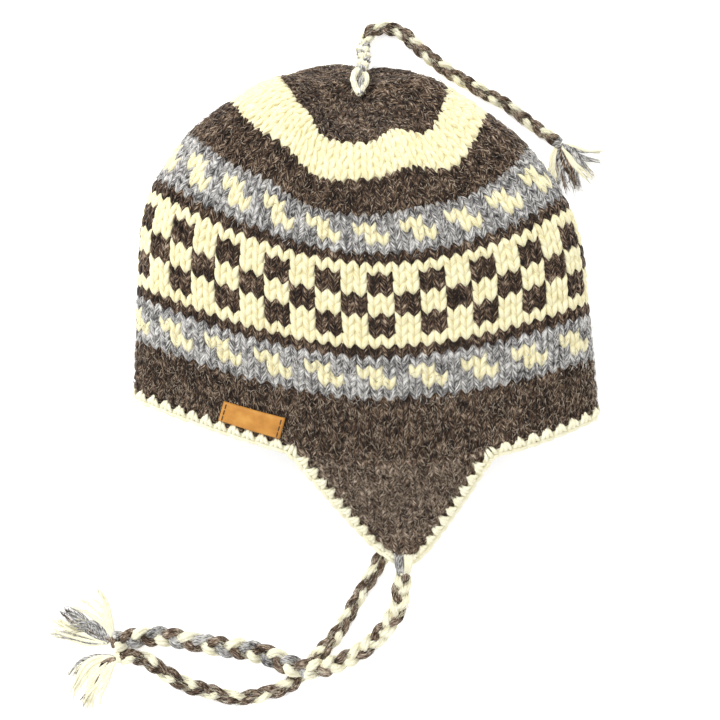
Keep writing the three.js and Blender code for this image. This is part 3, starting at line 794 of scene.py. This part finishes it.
# Each lock's direction in degrees, length, bend in radians, number of yarns, and the wools they are
# drawn from
UPPER_LOCKS = [
    (178, 31, -0.2, 4, [CREAM, CREAM, GREY]),
    (166, 32, -0.1, 6, [CREAM]),
    (152, 30, -0.1, 4, [GREY, BROWN]),
    (142, 28, 0.15, 5, [GREY]),
    (116, 25, 1.3, 3, [CREAM, GREY]),
    (98, 30, 1.35, 3, [CREAM]),
    (84, 30, 0.75, 3, [CREAM]),
]
LOWER_LOCKS = [
    (172, 27, 0.9, 4, [CREAM, CREAM, GREY]),
    (184, 33, 1.3, 5, [CREAM]),
    (222, 30, 0.45, 3, [BROWN]),
    (204, 33, 0.95, 4, [CREAM]),
    (210, 17, 0.75, 5, [BROWN]),
    (230, 29, 0.35, 5, [CREAM]),
]
TOP_LOCKS = [
    (250, 20, 0.2, 4, [CREAM, CREAM, GREY]),
    (274, 23, 0.1, 5, [BROWN, GREY]),
    (294, 25, 0.1, 5, [BROWN, GREY]),
    (316, 25, -0.1, 5, [GREY, CREAM]),
    (334, 24, 0.3, 4, [CREAM, GREY]),
]

# A yarn of a lock is a run of 14 points, and frays into fibres over its last few
LOCK_WAY = np.linspace(0, 1, 14)
FRAY_POINTS = 5
FIBRES_PER_YARN = 14

# The wrapped knot: where it starts and how long it is, its turns, half width and half height, and its yarn
WRAP_START = 0.4
WRAP_LENGTH = 2.6
WRAP_TURNS = 2.2
WRAP_HALF_WIDTH = 2.5
WRAP_HALF_HEIGHT = 2.3
WRAP_YARN = 0.9


def lock_yarns(knot, layer, turn, length, bend, count, wools):
    """The yarns of one lock: each leaves the knot in the lock's direction, turns steadily by its bend and a
    slow sine besides, and sinks to rest on the layer below. Across the lock they lie side by side."""
    angle = np.radians(turn) + chance.normal(0, 0.045, count)
    reach = length * chance.uniform(0.84, 1.04, count)
    curl = bend + chance.normal(0, 0.1, count)
    radius = chance.uniform(0.8, 1.15, count)
    wave = 0.2 * np.sin(2 * np.pi * LOCK_WAY * 1.3 + chance.uniform(0, 6)) * LOCK_WAY**0.5
    direction = angle[:, None] + curl[:, None] * LOCK_WAY + wave
    step = reach[:, None] / (len(LOCK_WAY) - 1)
    plan = np.stack([np.cumsum(np.cos(direction) * step, 1), np.cumsum(np.sin(direction) * step, 1)], -1)
    beside = np.stack([-np.sin(direction), np.cos(direction)], -1)
    spread = 0.35 + 0.8 * np.sin(np.pi / 2 * np.minimum(1, 2.2 * LOCK_WAY))
    apart = (np.arange(count) - (count - 1) / 2)[:, None] * spread
    rest = chance.uniform(1.0, 2.2, count)[:, None] + 0.6 * layer
    z = knot[2] + (rest - knot[2]) * np.minimum(1, LOCK_WAY * 1.7)
    path = np.concatenate([knot[:2] + plan + beside * apart[..., None], z[..., None]], -1)
    belly = 0.75 + 0.5 * np.sin(np.pi * np.minimum(1, LOCK_WAY * 1.25)) ** 0.7
    width = radius[:, None] * belly * (1 - 0.6 * LOCK_WAY**5)
    settle(path, width + 0.1)
    along = unit(np.gradient(path, axis=1))
    side = unit(np.cross(along, UP))
    yarn_wools = chance.choice(wools, count)
    yarns = tubes(path, side, np.cross(side, along), width, width * 0.85, 6, yarn_wools, twist=0.5)
    return yarns, path, side, direction


def lock_fibres(path, side, direction, wools):
    """Straight fibres that leave the last points of a lock's yarns, each turned a little from its yarn."""
    count, steps = path.shape[:2]
    fibres = FIBRES_PER_YARN * count
    yarn = chance.integers(0, count, fibres)
    point = chance.integers(steps - FRAY_POINTS, steps - 1, fibres)
    angle = direction[yarn, point] + chance.normal(0, 0.2, fibres)
    run = chance.uniform(2.5, 7.5, fibres)[:, None] * FIBRE_WAY
    root = path[yarn, point] + side[yarn, point] * chance.normal(0, 0.6, fibres)[:, None]
    heading = np.stack([np.cos(angle), np.sin(angle), np.zeros(fibres)], -1)
    fibre = root[:, None] + heading[:, None] * run[..., None]
    settle(fibre, 0.4)
    beside = np.broadcast_to(np.cross(UP, heading)[:, None], fibre.shape)
    above = np.broadcast_to(UP, fibre.shape)
    thin = np.broadcast_to(0.15 * (1 - 0.6 * FIBRE_WAY), fibre.shape[:2])
    return tubes(fibre, beside, above, thin, thin, 3, chance.choice(wools, fibres))


def knot_wrap(end, heading, wool):
    """One yarn wound round the end of the braid, as a flattened coil along its heading."""
    turn = np.linspace(0, 2 * np.pi * WRAP_TURNS, 48)
    side = unit(np.cross(heading, UP))
    axis = end + heading * (WRAP_START + WRAP_LENGTH * turn[:, None] / turn[-1])
    coil = (axis + side * (WRAP_HALF_WIDTH * np.cos(turn))[:, None]
            + UP * (WRAP_HALF_HEIGHT * np.sin(turn))[:, None])
    settle(coil, 1.2)
    along = unit(np.gradient(coil, axis=0))
    out = unit(coil - axis)
    thick = np.full((1, len(turn)), WRAP_YARN)
    return tubes(coil[None], np.cross(along, out)[None], out[None], thick, thick, 6, wool, twist=0.9)


def make_tassel(name, route_points, locks, wrap_wool):
    """Loose yarn ends that leave a wrapped knot in a few locks, which lie on one another in their order."""
    end = np.array(route_points[-1], float)
    heading = unit(end - np.array(route_points[-2], float))
    knot = end + heading * WRAP_LENGTH
    knot[2] = max(knot[2], 3.6)
    parts = []
    for layer, lock in enumerate(locks):
        yarns, path, side, direction = lock_yarns(knot, layer, *lock)
        parts += [yarns, lock_fibres(path, side, direction, lock[-1])]
    parts.append(knot_wrap(end, heading, wrap_wool))
    return put_mesh(name + "_locks", parts, CORD_WOOLS, [name])


def make_cords():
    """The three tassels, and then the three braids that end in them."""
    upper_tassel = make_tassel("upper_tassel", UPPER_TIE, UPPER_LOCKS, BROWN)
    lower_tassel = make_tassel("lower_tassel", LOWER_TIE, LOWER_LOCKS, CREAM)
    top_tassel = make_tassel("top_tassel", TOP_BRAID, TOP_LOCKS, GREY)
    make_braid("upper_tie", UPPER_TIE, 10.2, upper_tassel, phase=0.4, pitch=25, lean=-1, fuller=1.17,
               change_at=0.42, wools=[(CREAM, CREAM), (CREAM, GREY), (BROWN, BROWN)])
    make_braid("lower_tie", LOWER_TIE, 9.0, lower_tassel, phase=1.3, pitch=27, lean=1, fuller=1.0,
               change_at=0.5, wools=[(BROWN, BROWN), (BROWN, BROWN), (CREAM, CREAM)])
    make_braid("top_braid", TOP_BRAID, 7.4, top_tassel, phase=2.0, pitch=22, lean=1, fuller=1.05,
               change_at=0.3, wools=[(CREAM, CREAM), (GREY, BROWN), (CREAM, BROWN)], bows=(-3.2, 1.3, 3.2))


# Knitting

# A leg of a stitch at six steps from the tip of its V: its share of the yarn's width, its height over one
# yarn's half height below the face, and its share of the pitch to the side of the column. It is LEG_REACH
# courses long and its tip lies LEG_TIP courses towards the brim.
LEG_STEPS = np.array([0.0, 0.14, 0.36, 0.62, 0.85, 1.0])
LEG_WIDTH = np.array([0.14, 0.6, 0.96, 1.0, 0.72, 0.16])
LEG_LIFT = np.array([-1.3, -0.3, 0.1, 0.0, -0.55, -1.7])
LEG_SIDE = np.array([0.05, 0.11, 0.2, 0.29, 0.365, 0.4])
LEG_REACH = 1.72
LEG_TIP = 1.24

# The fabric behind the stitches: how deep and how low it lies, and how far a flap's reaches past its edge
BACKING_DEPTH = 1.75
BACKING_LOWEST = 0.3
FLAP_HEM = 3.0


def chart_row(course):
    """The colours of one course, four columns to a repeat, from the crown to the brim."""
    brown, grey, cream = [BROWN] * 4, [GREY] * 4, [CREAM] * 4
    steps_one = [CREAM, GREY, GREY, CREAM]
    steps_two = [CREAM, CREAM, GREY, GREY]
    blocks = [BROWN, BROWN, CREAM, CREAM]
    shifted = [CREAM, CREAM, BROWN, BROWN]
    steps = [(1, grey), (1, steps_one), (1, steps_two), (1, grey)]
    checks = [(1, brown), (1, cream), (2, blocks), (2, shifted), (2, blocks), (1, cream), (1, brown)]
    first = 0
    for count, colours in [(9, brown), (4, cream), (4, brown)] + steps + checks + steps:
        if course < first + count:
            return colours
        first += count
    return brown


def stitches_in(course):
    """Eight sections of ten stitches, one fewer in each every second course towards the crown."""
    return SECTORS * int(np.clip((course + 3) // 2, 1, STITCHES // SECTORS))


def stitch_legs(face, centre, pitch, course, unit_step, mm_per_unit, colours, flip=1):
    """Two leaf-shaped legs for each stitch, from the tip of its V towards the brim up to its shoulders, and
    lowest at both ends, where it passes behind its neighbours. Hand knitting varies a little in every one."""
    count = len(centre)
    parts = []
    wander = chance.normal(0, 0.018, count)
    fatter = chance.normal(1.0, 0.05, count)
    room = np.minimum(1.12, pitch * mm_per_unit / STITCH_WIDTH)
    for side in (-1, 1):
        lateral = centre[:, None] + (side * LEG_SIDE + wander[:, None]) * pitch
        row = course + LEG_TIP - LEG_REACH * LEG_STEPS + chance.normal(0, 0.03, (count, 1))
        point, across, out = surface_frame(face, lateral, row, unit_step, COURSE_STEP, flip)
        lift = LEG_LIFT - YARN_HEIGHT + chance.normal(0, 0.1, (count, 1))
        path = point + out * lift[..., None]
        width = YARN_WIDTH * LEG_WIDTH * fatter[:, None] * room
        height = YARN_HEIGHT * (0.25 + 0.75 * LEG_WIDTH) * fatter[:, None]
        settle(path, height * 0.98)
        parts.append(tubes(path, across, out, width, height, 6, colours, twist=0.3 * side))
    return parts


def ring_lengths():
    """How far it is round the hat in each course, a little below its upper edge."""
    turns = np.linspace(0, 2 * np.pi, 721)
    rings = np.array([hat_face(turns, course + 0.6) for course in range(COURSES)])
    return np.linalg.norm(np.diff(rings, axis=1), axis=2).sum(1)


RING_LENGTHS = ring_lengths()


def body_stitches(first, last):
    """The stitches of some courses, evenly spaced round each and in the colours of their columns."""
    parts = []
    for course in range(first, last):
        count = stitches_in(course)
        number = np.arange(count)
        share = -0.5 + (number + 0.5) / count + FIRST_COLUMN
        column = np.floor(number * STITCHES / count).astype(int) - STITCHES // 2
        colours = np.array(chart_row(course))[column % 4]
        parts += stitch_legs(knit_face, share, 1.0 / count, course, SHARE_STEP, RING_LENGTHS[course], colours)
    return parts


def body_shell():
    """The fabric behind the stitches and its purl side, with the yarn's colour of each stitch: rings at one
    depth down to the brim and at the wall's depth back to the crown, where a cosine of the course and one of
    the column raise the purls."""
    sides = 2 * STITCHES
    share = -0.5 + (np.arange(sides) + 0.5) / sides + FIRST_COLUMN
    column = np.floor((share - FIRST_COLUMN) * STITCHES).astype(int)
    rows = np.concatenate([[0.3], np.arange(0.7, COURSES, 0.7), [COURSES, COURSES + 0.4]])
    outer = [(row, BACKING_DEPTH, BACKING_LOWEST, 0.0) for row in rows]
    inner = [(row, KNIT_WALL, KNIT_WALL, 1.0) for row in rows[::-1]]
    rings = []
    wools = []
    for row, depth, lowest, purl in outer + inner:
        point, _, out = surface_frame(knit_face, share, row, SHARE_STEP, COURSE_STEP)
        ripple = 0.55 * np.cos(2 * np.pi * row) + 0.3 * np.cos(2 * np.pi * share * STITCHES)
        ring = point - out * (depth + purl * ripple)[:, None]
        settle(ring, lowest)
        rings.append(ring)
        wools.append(np.array(chart_row(min(int(row + 0.1), COURSES - 1)))[column % 4])
    return shell(np.array(rings), np.array(wools)[:-1])


def flap_stitches(side):
    """A flap's stitches, in the brim's columns as far as the flap is wide at each course."""
    parts = []
    columns = (np.arange(-9, 11) + 0.5 + COLUMN_SHIFT) * STITCH_WIDTH - FLAP_X
    for row in range(FLAP_COURSES):
        kept = columns[np.abs(columns) < flap_half((row + 0.6) / FLAP_COURSES) - 0.08 * STITCH_WIDTH]
        parts += stitch_legs(flap_rows(side), kept, STITCH_WIDTH, row, LATERAL_STEP, 1.0, BROWN, side)
    return parts


def flap_backing(side):
    """The fabric behind a flap's stitches, a closed slab with its purl side inwards."""
    across, down = np.meshgrid(np.linspace(-1, 1, 40), np.linspace(-0.03, 1.045, 30))
    lateral = across * (flap_half(down) + FLAP_HEM)
    point, _, out = surface_frame(partial(flap_face, side), lateral, down, LATERAL_STEP, DOWN_STEP, side)
    depth = KNIT_WALL + 0.4 * np.cos(2 * np.pi * down * FLAP_COURSES)
    outer = point - out * BACKING_DEPTH
    inner = point - out * depth[..., None]
    if side < 0:
        outer[..., 2] = BACKING_LOWEST
        inner[..., 2] = depth
    return shell(np.concatenate([outer, inner[:, ::-1]], 1), BROWN)


def make_knitting():
    """The body in three pieces from the crown to the brim, its backing, and the two flaps."""
    courses = [("crown_stitches", 0, 17), ("band_stitches", 17, 30), ("brim_stitches", 30, 40)]
    for name, first, last in courses:
        put_mesh(name, body_stitches(first, last), WOOLS, ["knit_body"])
    put_mesh("body_backing", [body_shell()], WOOLS, ["knit_body"])
    for side, flap in ((1, "earflap_upper"), (-1, "earflap_lower")):
        put_mesh(flap + "_knit", flap_stitches(side) + [flap_backing(side)], FLAP_WOOLS, [flap])


# Crocheted edge

# Three chains lie side by side: each one's slant, how far in and up it lies, and its half thickness
EDGE_CHAINS = [(1.0, -1.05, 0.5, 1.5), (-1.0, 1.0, -0.2, 1.35), (0.6, -0.4, -1.1, 1.6)]
CHAIN_TAPER = np.array([0.45, 0.85, 1.0, 1.02, 1.0, 0.85, 0.45])
CHAIN_PITCH = 7.9

# Three legs reach into the fabric from each chain loop: the middle one's reach, their half thickness, and
# their taper
TUFT_REACH = 6.0
TUFT_YARN = 1.3
TUFT_TAPER = np.array([0.95, 1.0, 0.98, 0.9, 0.72, 0.3])

# They are shorter near the upper flap's tip: from where on, where they are shortest, and by how much
TUFTS_SHORTEN_Y = -238.0
TUFTS_SHORTEST_Y = -250.0
SHORTEST_TUFT = 0.5

# The yarns of the upper tie where they lie over the edge
ROOT_YARNS = 6
ROOT_RADIUS = 1.1


def edge_run(face, away, out, gap):
    """A stretch of the edge's middle line, half the wall below the face and away from the fabric, with unit
    directions into the fabric and out of its face."""
    return face - out * KNIT_WALL / 2 + away * (EDGING_ROUND / 2 + gap), -away, out


def backwards(run):
    return [part[::-1] for part in run]


def brim_run(side, fold_x, flap_x):
    """The edge along the brim from a fold to a flap, with its points closest together at the fold."""
    x = fold_x + (flap_x - fold_x) * (1 - np.cos(np.linspace(0, np.pi / 2, 60)))
    turn = turn_over(x, COURSES, side)
    near = COURSES - 0.02
    away = unit(hat_face(turn, near) - hat_face(turn, COURSES - 0.7))
    round_way = unit(hat_face(turn + 0.01, near) - hat_face(turn - 0.01, near))
    return edge_run(hat_face(turn, float(COURSES)), away, unit(np.cross(round_way, away)), 0.4)


def flap_run(side, edge):
    """The edge down one side of a flap."""
    down = np.linspace(0.07, 0.99, 60)
    face = partial(flap_face, side)
    _, _, out = surface_frame(face, np.zeros(60), down, LATERAL_STEP, DOWN_STEP, side)
    point = face(edge * flap_half(down), down)
    along = unit(np.gradient(point, axis=0))
    return edge_run(point, unit(np.cross(along, out)) * (-edge * side), out, 0.4)


def tip_run(side):
    """The edge across a flap's tip."""
    lateral = np.linspace(0.55, -0.55, 9) * FLAP_TIP / 2
    face = partial(flap_face, side)
    _, _, out = surface_frame(face, np.zeros(9), np.full(9, 0.98), LATERAL_STEP, DOWN_STEP, side)
    point = face(lateral, 1.0)
    return edge_run(point, unit(point - face(lateral, 0.96)), out, 1.2)


def edge_route():
    """The middle line of the whole edge as a closed ring with its directions: along the upper brim and flap
    from the back fold to the front fold, and back along the lower ones."""
    middle = row_middle_x(COURSES)
    fold = HAT_WIDTH / 2 * 0.999
    stretches = []
    for side in (1, -1):
        runs = [
            brim_run(side, middle + fold, FLAP_X + FLAP_BASE / 2 + 5),
            flap_run(side, 1),
            tip_run(side),
            backwards(flap_run(side, -1)),
            backwards(brim_run(side, middle - fold, FLAP_X - FLAP_BASE / 2 - 5)),
        ]
        stretch = [np.concatenate(part) for part in zip(*runs)]
        stretches.append(stretch if side > 0 else backwards(stretch))
    points, inwards, outs = (np.concatenate([*part, part[0][:1]]) for part in zip(*stretches))
    length = np.concatenate([[0], np.cumsum(np.linalg.norm(np.diff(points, axis=0), axis=1))])
    return points, inwards, outs, length


def tie_root():
    """The upper tie's yarns, which come out of the flap's last stitch and lie over the edge, grey beside
    cream: they close up on a straight line and rise and fall as half a sine."""
    number = np.arange(ROOT_YARNS) - (ROOT_YARNS - 1) / 2
    t = np.linspace(0, 1, 12)
    start = UPPER_TIE[0]
    spread = 1.75 - 0.85 * t
    x = start[0] + number[:, None] * spread + 0.5 * np.sin(np.pi * t) * np.sign(number)[:, None]
    y = start[1] + 9.0 - 11.5 * t
    z = UPPER_TIP_Z - 0.6 + 2.4 * np.sin(np.pi * np.minimum(1, t * 1.3)) - 6.6 * t**3
    path = np.stack(np.broadcast_arrays(x, y, z + chance.normal(0, 0.2, (ROOT_YARNS, 1))), -1)
    along = unit(np.gradient(path, axis=1))
    side = unit(np.cross(along, UP))
    thick = np.full(path.shape[:2], ROOT_RADIUS)
    wools = np.where(number < 0, GREY, CREAM)
    return tubes(path, side, np.cross(side, along), thick, thick, 6, wools, twist=0.4)


def edge_chains(at, middle):
    """Chain loops along the edge, each a slanting arch that starts under the one before."""
    count = len(middle)
    t = np.linspace(-1, 1, 7)
    parts = []
    for row, (slant, shift, lift, thick) in enumerate(EDGE_CHAINS):
        centre, inward, out = at(middle[:, None] + row * CHAIN_PITCH / 3 + t * CHAIN_PITCH * 0.72)
        sway = shift + slant * t * 0.75
        arch = lift + 0.9 * (1 - t**2) - 0.4
        path = centre + inward * sway[:, None] + out * arch[:, None]
        width = thick * CHAIN_TAPER * chance.normal(1, 0.05, (count, 1))
        settle(path, width)
        parts.append(tubes(path, inward, out, width, width, 7, CREAM, twist=0.8))
    return parts


def edge_tufts(at, middle):
    """Legs that reach into the fabric from each chain loop and come together there, rising and dipping on
    half a sine."""
    count = len(middle)
    t = np.linspace(0, 1, 6)
    parts = []
    for leg in (-1, 0, 1):
        centre, inward, out = at(middle[:, None] + leg * CHAIN_PITCH * (0.33 - 0.21 * t))
        near_tip = (centre[..., 1] - TUFTS_SHORTEN_Y) / (TUFTS_SHORTEST_Y - TUFTS_SHORTEN_Y)
        full_reach = (TUFT_REACH - abs(leg)) * t + chance.normal(0, 0.4, (count, 1)) * t
        reach = 0.4 + full_reach * (1 - (1 - SHORTEST_TUFT) * np.clip(near_tip, 0, 1))
        rise = (KNIT_WALL / 2 - 0.5 + np.sin(np.pi * np.minimum(t * 1.1, 1)) - 1.2 * t**4
                + 0.25 * (1 - abs(leg)))
        path = centre + inward * reach[..., None] + out * rise[:, None]
        width = np.broadcast_to(TUFT_YARN * TUFT_TAPER, path.shape[:2])
        settle(path, width * 0.6)
        parts.append(tubes(path, unit(np.cross(out, inward)), out, width, width * 0.85, 6, CREAM, twist=0.8))
    return parts


def make_edging():
    """The chains, the tufts and the tie's root, all placed by their distance along the edge's ring."""
    points, inwards, outs, length = edge_route()
    total = length[-1]

    def at(distance):
        wrapped = np.mod(distance, total)
        centre, inward, out = (
            np.stack([np.interp(wrapped, length, values[:, axis]) for axis in range(3)], -1)
            for values in (points, inwards, outs))
        return centre, unit(inward), unit(out)

    count = int(round(total / CHAIN_PITCH))
    middle = (np.arange(count) + 0.5) * total / count
    parts = edge_chains(at, middle) + edge_tufts(at, middle) + [tie_root()]
    # The edge's cream is the whiter copy: painted light on chains and tufts that face away from the lamp
    put_mesh("crochet_edge", parts, CORD_WOOLS, ["crochet_edging"])


# Leather label

LABEL_LENGTH = 33.0
LABEL_WIDTH = 11.0
LABEL_THICK = 1.4
LABEL_X = -59.0
LABEL_SLANT = 0.29
LABEL_ABOVE_BRIM = 2.2

# How far in from the label's rim its edge is rounded, how high its rim and its lower side lie above the
# knitting, and how far its stitches lie from its ends
LABEL_ROUND = 0.7
LABEL_RIM_LIFT = 0.7
LABEL_UNDER_LIFT = 0.2
THREAD_ENDS = (0.055, 0.945)
THREAD_ROWS = (0.2, 0.5, 0.8)
THREAD_RADIUS = 0.34


def label_point(x_share, up_share, lift):
    """A point of the label and the way out of it. Its length runs across the hat, its width along it."""
    last_course = HAT_LENGTH * (section_value(COURSES, "side") - section_value(COURSES - 1, "side"))
    up = (1 - up_share) * LABEL_WIDTH
    x = LABEL_X + (x_share - 0.5) * LABEL_LENGTH + LABEL_SLANT * (up - LABEL_WIDTH / 2)
    course = COURSES - (LABEL_ABOVE_BRIM + up) / last_course
    turn = turn_over(x, course, 1)
    across = unit(hat_face(turn + 0.01, course) - hat_face(turn - 0.01, course))
    along = unit(hat_face(turn, course + 0.02) - hat_face(turn, course - 0.02))
    out = unit(np.cross(across, along))
    return hat_face(turn, course) + out * np.asarray(lift)[..., None], out


def make_label():
    """A patch whose edge is rounded as a parabola, sewn down with three stitches at each short end."""
    a, b = np.meshgrid(np.linspace(0, 1, 41), np.linspace(0, 1, 17))
    rim = np.minimum(np.minimum(a, 1 - a) * LABEL_LENGTH, np.minimum(b, 1 - b) * LABEL_WIDTH)
    crown = 1 - np.clip(1 - rim / LABEL_ROUND, 0, 1) ** 2
    top, _ = label_point(a, b, LABEL_RIM_LIFT + (LABEL_THICK - LABEL_RIM_LIFT / 2) * crown)
    low, _ = label_point(a, b, np.full(a.shape, LABEL_UNDER_LIFT))
    parts = [shell(np.concatenate([low, top[:, ::-1]], 1)[:, ::-1], LEATHER)]
    t = np.linspace(-1, 1, 7)
    thick = np.full((1, len(t)), THREAD_RADIUS)
    for end in THREAD_ENDS:
        for row in THREAD_ROWS:
            arch = LABEL_THICK + 0.15 + 0.28 * (1 - t**4)
            point, out = label_point(np.full(len(t), end), row + t * 0.12, arch)
            side = unit(np.cross(unit(np.gradient(point, axis=0)), out))
            parts.append(tubes(point[None], side[None], out[None], thick, thick, 6, THREAD, twist=1.5))
    put_mesh("leather_label_patch", parts, [tan_leather, brown_thread], ["leather_label"])


# Loose fibres

# The courses between which each wool's fibres lie on the body
BROWN_BANDS = np.array([(1.5, 9.0), (13.0, 17.0), (35.0, 40.0)])
GREY_BANDS = np.array([(17.0, 21.0), (31.0, 35.0)])


def loose_fibres(name, face, a, b, per_mm, step, material, flip):
    """Fibres 1.5 to 4.4 mm long that lie over a face, most of them along the stitches' legs: each starts at
    a and b on it, turns a little as it goes, and rises as the square of the way along."""
    count = len(a)
    slant = chance.choice([-1, 1], count) * chance.normal(0.5, 0.25, count)
    along_legs = chance.uniform(0, 1, count) < 0.65
    heading = np.where(along_legs, np.pi / 2 + slant, chance.uniform(0, np.pi, count))
    direction = heading[:, None] + chance.normal(0, 0.6, count)[:, None] * FIBRE_WAY
    length = chance.uniform(1.5, 4.4, count)[:, None]
    run_a = length * np.cumsum(np.cos(direction), 1) / 3
    run_b = length * np.cumsum(np.sin(direction), 1) / 3
    at_a = a[:, None] + run_a * per_mm[:, None]
    at_b = np.clip(b[:, None] + run_b / COURSE_LENGTH, 0.4, COURSES - 0.1)
    point, _, out = surface_frame(face, at_a, at_b, step, COURSE_STEP, flip)
    start = chance.uniform(-0.5, 0.35, count)[:, None]
    lift = start + chance.exponential(0.25, count)[:, None] * FIBRE_WAY**2
    path = point + out * lift[..., None]
    settle(path, 0.2)
    side = unit(np.cross(unit(np.gradient(path, axis=1)), out))
    thin = chance.uniform(0.08, 0.16, count)[:, None] * (1 - 0.5 * FIBRE_WAY**2)
    put_mesh(name, [tubes(path, side, out, thin, thin, 3, 0)], [material])


def make_fuzz():
    """Fibres spread over each wool's bands. A ring grows with its course, so the course is the root of an
    even draw of its square, and half of the fibres are moved to the half of the way round that is seen."""
    for name, count, bands, material in (("brown_fuzz_of_the_body", 10400, BROWN_BANDS, brown_hair),
                                         ("grey_fuzz_of_the_body", 2600, GREY_BANDS, grey_hair)):
        areas = bands[:, 1] ** 2 - bands[:, 0] ** 2
        low, high = bands[chance.choice(len(bands), count, p=areas / areas.sum())].T
        course = np.sqrt(chance.uniform(low**2, high**2))
        share = chance.uniform(-0.5, 0.5, count)
        share = np.where(chance.uniform(0, 1, count) < 0.5, share * 0.5, share)
        per_mm = 1.0 / RING_LENGTHS[np.minimum(course.astype(int), COURSES - 1)]
        loose_fibres(name, knit_face, share, course, per_mm, SHARE_STEP, material, 1)
    for side, name, count in ((1, "fuzz_of_the_upper_flap", 2600), (-1, "fuzz_of_the_lower_flap", 800)):
        course = FLAP_COURSES * (1 - np.sqrt(chance.uniform(0.05, 1, count)))
        lateral = chance.uniform(-0.95, 0.95, count) * flap_half(course / FLAP_COURSES)
        loose_fibres(name, flap_rows(side), lateral, course, np.ones(count), LATERAL_STEP, brown_hair, side)


make_camera()
make_light()
make_floor()
make_cords()
make_knitting()
make_edging()
make_label()
make_fuzz()
